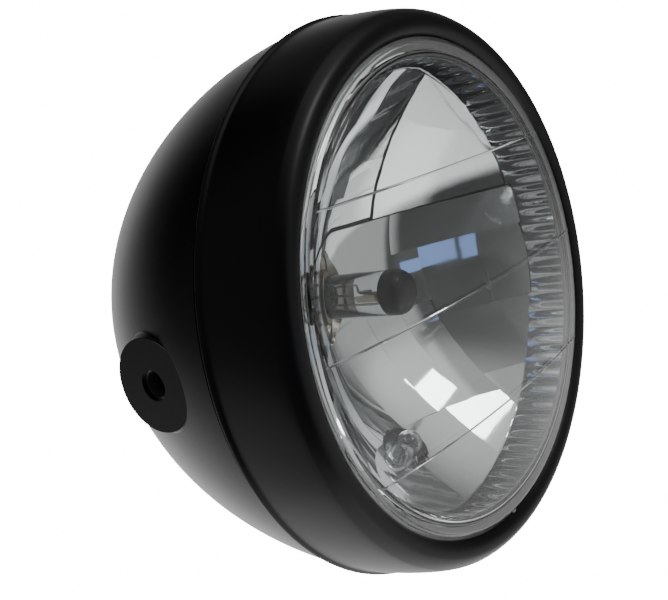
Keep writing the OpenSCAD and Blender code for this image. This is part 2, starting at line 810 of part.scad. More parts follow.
module bulb_clip_screws() color("#8d8f92") on_lamp_axis()
    for (end = [-1, 1]) translate([end * ear_x, 0, 0]) {
        bar(ear_screw_r, clip_head_back + clip_head_h / 2, -neck_depth + ear_screw_len);
        difference() {
            bar(clip_head_r, clip_head_back, clip_head_back + clip_head_h - 0.05);
            translate([-far / 2, -0.35, clip_head_back - past]) cube([far, 0.7, 0.8 + past]);
        }
    }

// The boot: a soft bell that grips the collar behind the reflector and closes on the blades
boot_t = 1.8;
boot_bead = 0.6;
boot_grip = 7;
boot_waist_r = neck_r;
boot_mouth_r = insulator_r + 0.5;
boot_front = -neck_depth + spigot_drop + boot_grip;
boot_fold = -neck_depth - 5;
boot_waist = insulator_back - 1.4;
boot_back = insulator_back - 4;

module bulb_boot() color("#151515") turned([
    [spigot_r + 0.05, boot_front],
    [spigot_r + boot_t + boot_bead, boot_front],
    [spigot_r + boot_t + boot_bead, boot_front - 3],
    [spigot_r + boot_t, boot_front - 3 - boot_bead],
    [spigot_r + boot_t, boot_fold + 6],
    [spigot_r - 4, boot_fold],
    [spigot_r - 4, boot_fold - 2],
    [boot_waist_r, boot_waist],
    [boot_waist_r, boot_waist - 1.5],
    [boot_mouth_r + 3, boot_back],
    [boot_mouth_r, boot_back],
    [boot_mouth_r, boot_back + 2],
    [boot_waist_r - 2.5, boot_waist + 0.3],
    [boot_waist_r - 2, boot_waist + boot_t],
    [spigot_r - 4 - boot_t, boot_fold - 0.4],
    [spigot_r - 4 - boot_t, boot_fold + 1.2],
    [spigot_r - 2, boot_fold + 7],
    [spigot_r - 2, -neck_depth + spigot_drop - 0.05],
    [spigot_r + 0.05, -neck_depth + spigot_drop - 0.05]
]);

// The parking bulb stands in a soft holder, pushed into its neck from behind
holder_front = -2.5;
park_glass_back = holder_front + 1 - park_glass_len / 2;

holder_flange_t = 5;
holder_back = -park_neck_h - 12;

module parking_bulb_holder() color("#17181a") on_lamp_axis() on_parking_hole() difference() {
    union() {
        bar(park_hole_r - 0.05, -park_neck_h - past, holder_front);
        bar(park_neck_r, -park_neck_h - holder_flange_t, -park_neck_h - 0.05);
        bar(park_neck_r - 3, holder_back, -park_neck_h - holder_flange_t + past);
    }
    bar(park_glass_r + 2, park_glass_back + 3, 0);
    bar(park_glass_r + 0.05, park_glass_back, 0);
}

module parking_bulb_glass() color([0.9, 0.93, 0.95, 0.5]) on_lamp_axis() on_parking_hole()
    translate([0, 0, park_glass_back]) difference() {
        rotate_extrude() polygon(concat(
            [[0, 0], [park_glass_r, 0]],
            arc([0, park_glass_len - park_glass_r], park_glass_r, 0, 90, 8)
        ));
        rotate_extrude() polygon(concat(
            [[0, 6], [park_glass_r - 0.8, 6]],
            arc([0, park_glass_len - park_glass_r], park_glass_r - 0.8, 0, 90, 8)
        ));
    }

module parking_bulb_filament() color("#6f6a5d") on_lamp_axis() on_parking_hole()
    translate([0, 0, park_glass_back]) {
        for (side = [-1, 1]) translate([side * 2, 0, 0]) bar(0.25, 5.9, 12.5);
        translate([-2, 0, 12.3]) rotate([0, 90, 0]) cylinder(h = 4, r = 0.4);
    }

contact_len = 8;
contact_t = 0.6;

module parking_bulb_contacts() color("#b5a46a") on_lamp_axis() on_parking_hole()
    for (side = [-1, 1])
        translate([side * park_glass_r * 0.7 - contact_t / 2, -2, holder_back - contact_len])
            cube([contact_t, 4, contact_len]);

bucket();
side_weld_nuts();
cable_grommet();
rim();
rim_hook();
rim_screw_bracket();
rim_screw_nut();
rim_screw();
lens();
lens_seal();
reflector();
optic_clips();
bulb_base();
bulb_glass();
bulb_leads();
dipped_filament();
driving_filament();
dipped_beam_shield();
bulb_insulator();
bulb_terminals();
bulb_clip();
bulb_clip_screws();
bulb_boot();
parking_bulb_holder();
parking_bulb_glass();
parking_bulb_filament();
parking_bulb_contacts();
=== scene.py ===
import math

import bmesh
import bpy
import numpy as np
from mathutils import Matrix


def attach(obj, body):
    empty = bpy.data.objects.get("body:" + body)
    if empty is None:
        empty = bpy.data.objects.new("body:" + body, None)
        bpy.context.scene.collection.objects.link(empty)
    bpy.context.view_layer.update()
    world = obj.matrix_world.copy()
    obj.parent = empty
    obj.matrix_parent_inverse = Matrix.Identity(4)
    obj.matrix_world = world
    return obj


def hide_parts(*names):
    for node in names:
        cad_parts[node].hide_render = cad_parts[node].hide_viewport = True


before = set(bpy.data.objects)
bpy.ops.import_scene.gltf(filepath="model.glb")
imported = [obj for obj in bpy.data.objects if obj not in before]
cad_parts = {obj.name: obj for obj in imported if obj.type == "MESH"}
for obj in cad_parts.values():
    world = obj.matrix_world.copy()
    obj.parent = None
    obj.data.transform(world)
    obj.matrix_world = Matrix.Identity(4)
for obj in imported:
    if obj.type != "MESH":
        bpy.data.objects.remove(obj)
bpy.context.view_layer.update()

# Camera
# Stands in front of the lamp, to its -X side and a little above it, turned slightly about its
# own axis. Place, turn and lens length were fitted to the lip, the seam and the lens lines.
camera_data = bpy.data.cameras.new("camera")
camera_data.sensor_fit = "HORIZONTAL"
camera_data.sensor_width = 36.0
camera_data.lens = 50.13
camera = bpy.data.objects.new("camera", camera_data)
bpy.context.collection.objects.link(camera)
camera_right = (0.59462, -0.77010, -0.23102)
camera_up = (0.29248, -0.06047, 0.95436)
camera_forward = (0.74892, 0.63505, -0.18928)
camera_place = (-0.2673, -0.2255, 0.0664)
camera.matrix_world = [
    (camera_right[0], camera_right[1], camera_right[2], 0),
    (camera_up[0], camera_up[1], camera_up[2], 0),
    (-camera_forward[0], -camera_forward[1], -camera_forward[2], 0),
    (*camera_place, 1),
]
bpy.context.scene.camera = camera


# Studio
# A round white table top below the lamp, a softbox above its front and a blue-lit window of two
# panes ahead of it. The room around gives the rest: a white sweep below and behind, one pale side
# and one dim side. A plain white wall is all that the camera sees behind the lamp.
def linear(colour):
    """The linear colour of an sRGB hex value such as "1b1c1e": each channel is divided by
    12.92 where it is small, and otherwise shifted, scaled and raised to 2.4."""
    channels = [int(colour[i : i + 2], 16) / 255 for i in (0, 2, 4)]
    return (*[c / 12.92 if c <= 0.04045 else ((c + 0.055) / 1.055) ** 2.4 for c in channels], 1)


def set_inputs(node, inputs):
    """Fills each named or numbered input of a node with a value, or links it to another
    node's output."""
    for name, value in inputs.items():
        if isinstance(value, bpy.types.NodeSocket):
            node.id_data.links.new(value, node.inputs[name])
        else:
            node.inputs[name].default_value = value


def add_node(tree, kind, inputs=None, **settings):
    """Adds a node of a kind to a tree, with its settings and its inputs' values and links."""
    made = tree.nodes.new(kind)
    for name, value in settings.items():
        setattr(made, name, value)
    set_inputs(made, inputs or {})
    return made


def new_material(name):
    """An empty material with nodes, its tree and its principled shader."""
    material = bpy.data.materials.new(name)
    material.use_nodes = True
    tree = material.node_tree
    return material, tree, tree.nodes["Principled BSDF"]


def mesh_piece(name, points, faces, material, normals=None, sharp=35, closed=False, merge=False,
               facing=None):
    """An object from an array of points in millimetres of the row's frame and an array of
    quads. Faces are turned to agree with given normals, to enclose a positive volume where
    closed is set, or to a facing: forward, or inward or outward of the lamp's axis."""
    points = np.asarray(points, float)
    corners = points[faces]
    square = np.cross(corners[:, 2] - corners[:, 0], corners[:, 3] - corners[:, 1])
    if normals is not None:
        wrong = (square * normals[faces].sum(1)).sum(1) < 0
    elif closed:
        middle = points.mean(0)
        wrong = np.full(len(faces), ((corners.mean(1) - middle) * square).sum() < 0)
    elif facing is not None:
        away = corners.mean(1) * (1, 0, 1)
        ways = {"inward": -away, "outward": away, "forward": np.array([0, -1.0, 0])}
        wrong = (square * ways[facing]).sum(1) < 0
    else:
        wrong = np.zeros(len(faces), bool)
    faces = np.where(wrong[:, None], faces[:, ::-1], faces)
    mesh = bpy.data.meshes.new(name)
    mesh.from_pydata((points / 1000).tolist(), [], faces.tolist())
    if merge:
        work = bmesh.new()
        work.from_mesh(mesh)
        bmesh.ops.remove_doubles(work, verts=work.verts, dist=1e-7)
        work.to_mesh(mesh)
        work.free()
    mesh.polygons.foreach_set("use_smooth", np.ones(len(mesh.polygons), bool))
    if normals is None:
        mesh.set_sharp_from_angle(angle=math.radians(sharp))
    else:
        mesh.normals_split_custom_set_from_vertices(normals.tolist())
    mesh.materials.append(material)
    made = bpy.data.objects.new(name, mesh)
    bpy.context.collection.objects.link(made)
    return made


def grid_faces(rows, columns, wrap_rows=False, wrap_columns=False):
    """Quads between neighbouring points of a grid that is stored row by row. A wrapped
    direction also joins its last line to its first."""
    r = np.arange(rows if wrap_rows else rows - 1)[:, None]
    c = np.arange(columns if wrap_columns else columns - 1)[None, :]
    r2, c2 = (r + 1) % rows, (c + 1) % columns
    quads = np.stack([r * columns + c, r * columns + c2, r2 * columns + c2, r2 * columns + c], -1)
    return quads.reshape(-1, 4)


floor_paint, tree, shader = new_material("matt_white_floor_paint")
roller = add_node(tree, "ShaderNodeTexNoise", {"Scale": 60.0, "Detail": 3.0})
shade = add_node(tree, "ShaderNodeMix", {0: roller.outputs["Fac"], 6: linear("f1f1ef"), 7: linear("f6f6f4")},
                 data_type="RGBA")
set_inputs(shader, {
    "Base Color": shade.outputs[2], "Roughness": 0.9, "Specular IOR Level": 0.2,
    "Emission Color": linear("ffffff"), "Emission Strength": 0.95,
})

floor_z, floor_turns = -330.0, 96
angle = np.linspace(0, 2 * math.pi, floor_turns, endpoint=False)
radius = np.array([0, 80, 160, 256, 259, 260, 260])[:, None]
drop = np.array([0, 0, 0, 0, 0.5, 2, 12])[:, None]
points = np.stack([radius * np.cos(angle), radius * np.sin(angle), floor_z - drop + 0 * angle], -1)
faces = grid_faces(len(radius), floor_turns, wrap_columns=True)[:, ::-1]
floor = mesh_piece("floor", points.reshape(-1, 3), faces, floor_paint, merge=True)


def soft_lamp(name, place, target, size, power):
    """A rectangular area lamp that faces a target point. Its place and size are in metres."""
    data = bpy.data.lights.new(name, "AREA")
    data.shape = "RECTANGLE"
    data.size, data.size_y = size
    data.energy = power
    lamp = bpy.data.objects.new(name, data)
    away = np.asarray(place, float) - np.asarray(target, float)
    away /= np.linalg.norm(away)
    side = np.cross((0, 0, 1), away)
    side /= np.linalg.norm(side)
    up = np.cross(away, side)
    lamp.matrix_world = [(*side, 0), (*up, 0), (*away, 0), (*place, 1)]
    bpy.context.collection.objects.link(lamp)
    return lamp


soft_lamp("softbox_above_front", (0.18, -1.03, 1.08), (0, 0, 0), (0.42, 0.28), 2.8)
window_middle, pane_height = (0, 0, -0.05), 0.17
panes = {
    "window_left_pane": ((-0.81, -1.28, -0.18), 0.12, 0.055),
    "window_right_pane": ((-0.6, -1.41, -0.2), 0.3, 0.14),
}
for name, (place, pane_width, power) in panes.items():
    pane = soft_lamp(name, place, window_middle, (pane_width, pane_height), power)
    pane.data.color = linear("8aabf0")[:3]

world = bpy.data.worlds.new("studio_surroundings")
world.use_nodes = True
bpy.context.scene.world = world
tree = world.node_tree
direction = add_node(tree, "ShaderNodeTexCoord").outputs["Generated"]


def glow(way, edge, core, strength, base=0.0):
    """Light from the room around one direction: the base where the angle's cosine is below
    the edge value, full strength above the core value, and a soft step between."""
    cosine = add_node(tree, "ShaderNodeVectorMath", {0: direction, 1: way}, operation="DOT_PRODUCT")
    bounds = {"From Min": edge, "From Max": core, "To Min": base, "To Max": strength}
    return add_node(tree, "ShaderNodeMapRange", {"Value": cosine.outputs["Value"], **bounds},
                    interpolation_type="SMOOTHSTEP").outputs[0]


# The white sweep, bright below the lamp and ahead of it, lights only the floor's side
floor_side = glow((0.483, 0.565, -0.669), -0.02, 0.05, 1.0)
below = glow((0.0, 0.0, -1.0), 0.0, 0.5, 0.5)
ahead = glow((-0.21, -0.58, -0.79), 0.88, 0.97, 0.8)
sweep = add_node(tree, "ShaderNodeMath", {0: below, 1: ahead}, operation="ADD").outputs[0]
room = add_node(tree, "ShaderNodeMath", {0: floor_side, 1: sweep}, operation="MULTIPLY").outputs[0]
rest_of_room = {
    "bright rear of the sweep": glow((0.52, 0.742, -0.423), 0.42, 0.97, 1.25),
    "pale room on the right": glow((0.978, -0.208, 0.0), -0.02, 0.05, 0.45, 0.05),
    "darker corner behind it": glow((0.866, 0.5, 0.0), -0.1, 0.5, -0.35),
    "faint light on the left": glow((-0.92, 0.34, 0.2), 0.2, 0.95, 0.09),
    "ceiling over the front": glow((0.1, -0.5, 0.86), 0.75, 0.92, 0.4),
}
for part in rest_of_room.values():
    room = add_node(tree, "ShaderNodeMath", {0: room, 1: part}, operation="ADD").outputs[0]
room = add_node(tree, "ShaderNodeMath", {0: room, 1: 0.0}, operation="MAXIMUM").outputs[0]

# The wall that the camera sees is much brighter than the room, so that it is plain white
wall_strength = 16.0
seen = add_node(tree, "ShaderNodeLightPath").outputs["Is Camera Ray"]
strength = add_node(tree, "ShaderNodeMix", {0: seen, 2: room, 3: wall_strength})
set_inputs(tree.nodes["Background"], {"Strength": strength.outputs[0], "Color": (1, 1, 1, 1)})

# Bucket
# The deep bowl, pressed from 1.2 mm steel sheet and painted satin black. A collar in front
# slides under the rim, and a flat pad is coined on each side for the fork brackets' bolts.
LIP_Y = -57.0
bucket_r, bucket_wall = 98.0, 1.2
belly_r, back_r, belly_fwd = 140.0, 87.0, -19.0
back_fwd = belly_fwd - math.sqrt((belly_r - back_r) ** 2 - (belly_r - bucket_r) ** 2)
join_fwd = belly_fwd - belly_r * (belly_fwd - back_fwd) / (belly_r - back_r)
shoulder_fwd, collar_fwd, collar_r, seam_fwd = -28.8, -15.0, 95.4, -27.0
collar_foot = seam_fwd - 0.6
form_turns = 180


def bowl_radius(fwd, inset=0.0):
    """The bowl's radius at a forward position: a belly arc of radius 140 mm that passes into
    a back arc of radius 87 mm, both set in by the inset."""
    belly = bucket_r - belly_r + np.sqrt(np.maximum((belly_r - inset) ** 2 - (fwd - belly_fwd) ** 2, 0))
    back = np.sqrt(np.maximum((back_r - inset) ** 2 - (fwd - back_fwd) ** 2, 0))
    return np.where(fwd > join_fwd, belly, back)


def bowl_profile(inset, steps):
    """Points [radius, forward] and normals from the bowl's shoulder round to its tip, evenly
    spaced in angle along each arc."""
    join = math.asin((belly_fwd - back_fwd) / (belly_r - back_r))
    start = math.asin((belly_fwd - shoulder_fwd + inset) / (belly_r - inset))
    a = np.linspace(start, join, steps)[:-1]
    b = np.linspace(join, math.pi / 2, steps)
    centre = np.array([[bucket_r - belly_r, belly_fwd], [0, back_fwd]])
    out = np.concatenate([np.stack([np.cos(a), -np.sin(a)], -1), np.stack([np.cos(b), -np.sin(b)], -1)])
    middle = np.repeat(centre, [len(a), len(b)], 0)
    radii = np.repeat([belly_r - inset, back_r - inset], [len(a), len(b)])
    return middle + out * radii[:, None], out


def spun(profile, steps):
    """Points of a profile of [radius, forward] points turned about the lamp's axis: the radius
    times the angle's cosine and sine. Each profile point gives one row of the grid."""
    angles = np.linspace(0, 2 * math.pi, steps, endpoint=False)
    radius, forward = profile[:, 0:1], profile[:, 1:2]
    return np.stack([radius * np.cos(angles), LIP_Y - forward + 0 * angles, radius * np.sin(angles)], -1)


satin_black, tree, shader = new_material("satin_black_stove_enamel")
# Sprayed and stoved enamel: very dark, half gloss, with a faint orange peel about 2 mm wide
where = add_node(tree, "ShaderNodeTexCoord").outputs["Object"]
peel = add_node(tree, "ShaderNodeTexNoise", {"Vector": where, "Scale": 420.0, "Detail": 2.0})
bump = add_node(tree, "ShaderNodeBump", {"Height": peel.outputs["Fac"], "Strength": 0.05, "Distance": 0.0004})
cloud = add_node(tree, "ShaderNodeTexNoise", {"Vector": where, "Scale": 30.0, "Detail": 4.0})
gloss = add_node(tree, "ShaderNodeMapRange", {"Value": cloud.outputs["Fac"], "To Min": 0.3, "To Max": 0.36})
tint = add_node(tree, "ShaderNodeMix", {0: cloud.outputs["Fac"], 6: linear("070808"), 7: linear("0b0c0c")},
                data_type="RGBA")
set_inputs(shader, {
    "Base Color": tint.outputs[2], "Roughness": gloss.outputs[0], "Normal": bump.outputs[0], "IOR": 1.5,
    "Specular IOR Level": 0.3,
})

# A local form of the bowl has a flat face at a height and radius, a sloping flank with its width
# and height, a hole, and a patch of the bowl round it that reaches out to a radius. It is listed
# with its outward and sideways directions
pad_form = dict(fwd=-57.0, face=94.2, face_r=15.5, flank_w=3.0, flank_h=12.0, hole=5.05, reach=27.0)
dent_form = dict(fwd=-40.0, face=95.0, face_r=7.2, flank_w=1.0, flank_h=0.5, hole=2.8, reach=12.0)
join_soft, fade_from, fade_over, edge_lead, edge_over = 0.6, 6.0, 3.0, 0.25, 0.6
local_forms = [
    ((-1, 0, 0), (0, 0, 1), pad_form),
    ((1, 0, 0), (0, 0, -1), pad_form),
    ((0, 0, -1), (-1, 0, 0), dent_form),
]


def formed_height(u, v, form, inset):
    """Height of the bowl above the lamp's axis at u forward of a form's middle and v to its
    side. Outside the face it is the higher of the bowl and the sloping flank, plus a softness
    times the logarithm of one plus e to minus their difference over it, which fades out away
    from the face. At the face's edge a smooth step leads to the face's height."""
    far = np.hypot(u, v)
    past_face = far - form["face_r"]
    radius = bowl_radius(form["fwd"] + u, inset)
    bowl = np.sqrt(np.maximum(radius**2 - v**2, 0))
    flank = form["face"] - inset - np.maximum(past_face, 0) * form["flank_h"] / form["flank_w"]
    soft = join_soft * np.clip(1 - (past_face - fade_from) / fade_over, 0, 1) + 1e-4
    outside = np.maximum(bowl, flank) + soft * np.log1p(np.exp(-np.abs(bowl - flank) / soft))
    edge = np.clip((past_face + edge_lead) / edge_over, 0, 1)
    edge = edge * edge * (3 - 2 * edge)
    return (form["face"] - inset) * (1 - edge) + outside * edge


def form_patch(out, side, form, inset, thin):
    """A polar grid over a form, from its hole to its reach, with the surface's normals from
    differences of the height. Its rings lie on the face, close together over the face's edge,
    and on the bowl round it, and their count is divided by thin."""
    rings = np.concatenate([
        np.linspace(form["hole"], form["face_r"] - 0.5, 12 // thin),
        np.linspace(form["face_r"] - 0.3, form["face_r"] + 0.6, 8 // thin),
        np.linspace(form["face_r"] + 0.8, form["reach"], 26 // thin),
    ])[:, None]
    angle = np.linspace(0, 2 * math.pi, form_turns, endpoint=False)[None, :]
    u, v = rings * np.cos(angle), rings * np.sin(angle)
    step = 0.02
    height = formed_height(u, v, form, inset)
    rise_u = formed_height(u + step, v, form, inset) - formed_height(u - step, v, form, inset)
    rise_v = formed_height(u, v + step, form, inset) - formed_height(u, v - step, form, inset)
    slope_u, slope_v = rise_u / (2 * step), rise_v / (2 * step)
    out, side, ahead = np.array(out, float), np.array(side, float), np.array([0, -1.0, 0])
    points = height[..., None] * out + v[..., None] * side + u[..., None] * ahead
    points[..., 1] += LIP_Y - form["fwd"]
    normals = out - slope_u[..., None] * ahead - slope_v[..., None] * side
    normals /= np.linalg.norm(normals, axis=-1, keepdims=True)
    return points, normals


def cut_round(points, faces, offset, along, radius):
    """Takes out the quads that lie wholly within a radius of an axis, and moves the points
    of the others that lie inside it out to the circle. offset gives each point's two
    distances from the axis, and along says which of the points are on its side."""
    far = np.hypot(offset[:, 0], offset[:, 1])
    inside = along & (far < radius)
    faces = faces[~inside[faces].all(1)]
    scale = np.where(inside, radius / np.maximum(far, 1e-6), 1.0)
    return faces, inside, scale


inlet_angle = math.radians(32)
inlet_out = np.array([0, math.cos(inlet_angle), -math.sin(inlet_angle)])
inlet_side = np.array([0, math.sin(inlet_angle), math.cos(inlet_angle)])
back_middle = np.array([0, LIP_Y - back_fwd, 0])
inlet_hole_r = 13.0


def bowl_skin(inset, steps, turns):
    """One skin of the bowl as points, normals and quads: the turned outline, with round
    places cut out for the forms and for the cable inlet, whose edges lie on the bowl."""
    profile, out = bowl_profile(inset, steps)
    angles = np.linspace(0, 2 * math.pi, turns, endpoint=False)
    points = spun(profile, turns).reshape(-1, 3)
    out_r, out_fwd = out[:, 0:1], out[:, 1:2]
    normals = np.stack([out_r * np.cos(angles), -out_fwd + 0 * angles, out_r * np.sin(angles)], -1)
    normals = normals.reshape(-1, 3)
    faces = grid_faces(len(profile), turns, wrap_columns=True)
    for way, side, form in local_forms:
        forward = LIP_Y - points[:, 1]
        u, v = forward - form["fwd"], points @ np.array(side, float)
        on_side = points @ np.array(way, float) > 0
        faces, inside, scale = cut_round(points, faces, np.stack([u, v], -1), on_side, form["reach"])
        u, v = u * scale, v * scale
        radius = bowl_radius(form["fwd"] + u, inset)
        height = np.sqrt(np.maximum(radius**2 - v**2, 0))
        moved = height[:, None] * np.array(way, float) + v[:, None] * np.array(side, float)
        moved[:, 1] = LIP_Y - form["fwd"] - u
        points = np.where(inside[:, None], moved, points)
        step = 0.02
        before, after = (bowl_radius(form["fwd"] + u + d, inset) for d in (-step, step))
        rise = np.sqrt(np.maximum(after**2 - v**2, 1)) - np.sqrt(np.maximum(before**2 - v**2, 1))
        slope_u = rise / (2 * step)
        turned = np.array(way, float) + slope_u[:, None] * np.array([0, 1.0, 0])
        turned += (v / np.maximum(height, 1))[:, None] * np.array(side, float)
        turned /= np.linalg.norm(turned, axis=1, keepdims=True)
        normals = np.where(inside[:, None], turned, normals)
    from_middle = points - back_middle
    offset = np.stack([from_middle[:, 0], from_middle @ inlet_side], -1)
    faces, inside, scale = cut_round(points, faces, offset, from_middle @ inlet_out > 0, inlet_hole_r)
    offset = offset * scale[:, None]
    depth = np.sqrt(np.maximum((back_r - inset) ** 2 - (offset**2).sum(1), 0))
    moved = back_middle + depth[:, None] * inlet_out + offset[:, 1:2] * inlet_side
    moved[:, 0] = offset[:, 0]
    points = np.where(inside[:, None], moved, points)
    round_out = (points - back_middle) / (back_r - inset)
    normals = np.where(inside[:, None], round_out, normals)
    return points, normals, faces


def joined(parts):
    """Several sets of points, of normals where they have them, and of quads as one set. The
    quads come last in each set and count on from the points of the sets before it."""
    starts = np.cumsum([0] + [len(p[0]) for p in parts[:-1]])
    arrays = [np.concatenate(column) for column in zip(*[p[:-1] for p in parts])]
    return (*arrays, np.concatenate([p[-1] + start for p, start in zip(parts, starts)]))


def strip(profile, turns, flip=False):
    """A turned strip whose normals are square to each straight stretch of its profile, as a
    set of points, normals and quads. Each stretch has its own points, so corners are sharp."""
    angles = np.linspace(0, 2 * math.pi, turns, endpoint=False)
    sets = []
    for a, b in zip(profile[:-1], profile[1:]):
        a, b = np.array(a, float), np.array(b, float)
        along = (b - a) / np.linalg.norm(b - a)
        out = np.array([-along[1], along[0]]) * (-1 if flip else 1)
        points = spun(np.stack([a, b]), turns).reshape(-1, 3)
        normal = np.stack([out[0] * np.cos(angles), np.full(turns, -out[1]), out[0] * np.sin(angles)], -1)
        faces = grid_faces(2, turns, wrap_columns=True)
        sets.append((points, np.tile(normal, (2, 1)), faces if flip else faces[:, ::-1]))
    return joined(sets)


def hole_wall(outer_ring, inner_ring):
    """The wall of a hole between a ring of points on each skin, as a strip of quads whose
    normals point at the hole's middle."""
    rings = np.stack([outer_ring, inner_ring])
    inward = rings.mean(1, keepdims=True) - rings
    inward = (inward / np.linalg.norm(inward, axis=-1, keepdims=True)).reshape(-1, 3)
    points, faces = rings.reshape(-1, 3), grid_faces(2, len(outer_ring), wrap_columns=True)
    a, b, c = points[faces[0, :3]]
    turned_out = np.cross(b - a, c - a) @ inward[faces[0, 0]] < 0
    return points, inward, faces[:, ::-1] if turned_out else faces


bowl_turns = 400
skins, edges = [], []
for inset, steps, turns, thin in ((0.0, 60, bowl_turns, 1), (bucket_wall, 35, bowl_turns // 2, 2)):
    points, normals, faces = bowl_skin(inset, steps, turns)
    sets = [(points, normals, faces[:, ::-1])]
    round_inlet = np.linspace(0, 2 * math.pi, form_turns, endpoint=False)[:, None]
    inlet_depth = math.sqrt((back_r - inset) ** 2 - inlet_hole_r**2)
    across = np.cos(round_inlet) * np.array([1.0, 0, 0]) + np.sin(round_inlet) * inlet_side
    edges.append([back_middle + inlet_depth * inlet_out + inlet_hole_r * across])
    for way, side, form in local_forms:
        patch, patch_normals = form_patch(way, side, form, inset, thin)
        edges[-1].append(patch[0])
        patch_faces = grid_faces(*patch.shape[:2], wrap_columns=True)
        if np.dot(np.cross((0, -1, 0), side), way) > 0:
            patch_faces = patch_faces[:, ::-1]
        sets.append((patch.reshape(-1, 3), patch_normals.reshape(-1, 3), patch_faces))
    points, normals, faces = joined(sets)
    skins.append((points, normals, faces) if inset == 0 else (points, -normals, faces[:, ::-1]))
shoulder_out, shoulder_in = (bowl_profile(inset, 2)[0][0] for inset in (0.0, bucket_wall))
collar = strip([
    shoulder_out, (collar_r, collar_foot), (collar_r, collar_fwd), (collar_r - bucket_wall, collar_fwd),
    (collar_r - bucket_wall, collar_foot - bucket_wall), shoulder_in,
], bowl_turns)
walls = [hole_wall(outer, inner) for outer, inner in zip(*edges)]
points, normals, faces = joined(skins + [collar] + walls)
bowl = mesh_piece("bowl", points, faces, satin_black, normals=normals)
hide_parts("bucket")
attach(bowl, "root")

# Rim
# The deep rim, spun from 1.2 mm sheet and enamelled like the bowl. Its front edge is rolled
# into a bead round the lens, and its rear edge flares a little over the bowl's shoulder.
rim_wall, lip_r = 1.2, 85.0


def cubic(a, b, c, d, steps):
    """Points of a cubic curve from a to d with handles b and c: the four points weighted by
    the cubes and products of t and 1 - t."""
    t = np.linspace(0, 1, steps + 1)[:, None]
    a, b, c, d = (np.array(p, float) for p in (a, b, c, d))
    return (1 - t) ** 3 * a + 3 * (1 - t) ** 2 * t * b + 3 * (1 - t) * t**2 * c + t**3 * d


def moved_left(line, distance):
    """Each point of a line moved square to the line's run by a distance."""
    run = np.gradient(line, axis=0)
    run /= np.linalg.norm(run, axis=1, keepdims=True)
    return line + distance * np.stack([run[:, 1], -run[:, 0]], -1)


def ring_piece(name, profile, turns, material, sharp):
    """A closed outline of [radius, forward] points turned about the lamp's axis, with both
    directions wrapped."""
    points = spun(np.asarray(profile, float), turns).reshape(-1, 3)
    faces = grid_faces(len(profile), turns, True, True)
    return mesh_piece(name, points, faces, material, sharp=sharp, closed=True)


lip = np.array([lip_r, 0.3])
crest = np.array([lip_r + 4.5, 2.5])
rim_shoulder = np.array([bucket_r - 3.6, -1.0])
band_end = np.array([bucket_r, seam_fwd + 2])
edge_round = 0.4
flare_end = np.array([bucket_r + 1.0, seam_fwd + edge_round])
flare = cubic(band_end, band_end + (0.15, -0.3), flare_end + (0, 0.8), flare_end, 8)
turn = np.linspace(0, math.pi / 2, 7)[1:, None]
rear_edge = flare_end + edge_round * np.concatenate([np.cos(turn) - 1, -np.sin(turn)], 1)
rim_outside = np.concatenate([
    cubic(lip, lip + (1, 1.4), crest - (1.9, 0), crest, 14)[:-1],
    cubic(crest, crest + (2.4, 0), rim_shoulder + (-1.2, 1.9), rim_shoulder, 20)[:-1],
    cubic(rim_shoulder, rim_shoulder + (1.2, -2.5), band_end + (-0.8, 12), band_end, 30)[:-1],
    flare,
])
rim_profile = np.concatenate([rim_outside, rear_edge, moved_left(rim_outside, rim_wall)[::-1]])
rim = ring_piece("rim_shell", rim_profile, 480, satin_black, sharp=50)
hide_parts("rim")
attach(rim, "root")

# Lens
# Clear pressed glass, 3.2 mm thick: a shallow dome inside the lip, with a stepped border and a
# wide fillet inside it. The mould left three thin raised lines, a small centre mark and a nub at
# the bottom.
dome_edge_r, lens_t, lens_crown, lens_edge = lip_r - 2.0, 3.2, 10.0, 2.3
dome_r = (dome_edge_r**2 + (lens_crown - lens_edge) ** 2) / (2 * (lens_crown - lens_edge))
dome_mid = lens_crown - dome_r
flange_front = rim_profile[-1][1] - 0.4
flange_back, optic_r = flange_front - 2.5, lip_r + 4.5
foot_r, fillet = dome_edge_r - lens_t, 6.0


def dome_profile(reach, radius, steps):
    """Points of the dome's arc from the axis out to a reach: the dome's middle plus the root
    of the arc's radius squared less the point's radius squared."""
    r = np.linspace(0, reach, steps)
    return np.stack([r, dome_mid + np.sqrt(radius**2 - r**2)], -1)


lens_glass, tree, shader = new_material("clear_pressed_glass")
# Pressed soda-lime glass: colourless, hard gloss, with a faint ripple 12 mm wide from the mould
where = add_node(tree, "ShaderNodeTexCoord").outputs["Object"]
ripple = add_node(tree, "ShaderNodeTexNoise", {"Vector": where, "Scale": 80.0, "Detail": 1.0})
bump = add_node(tree, "ShaderNodeBump", {"Height": ripple.outputs["Fac"], "Strength": 0.04,
                                         "Distance": 0.001})
set_inputs(shader, {
    "Normal": bump.outputs[0], "Base Color": linear("fcfefd"), "Roughness": 0.0, "IOR": 1.5,
    "Transmission Weight": 1.0,
})

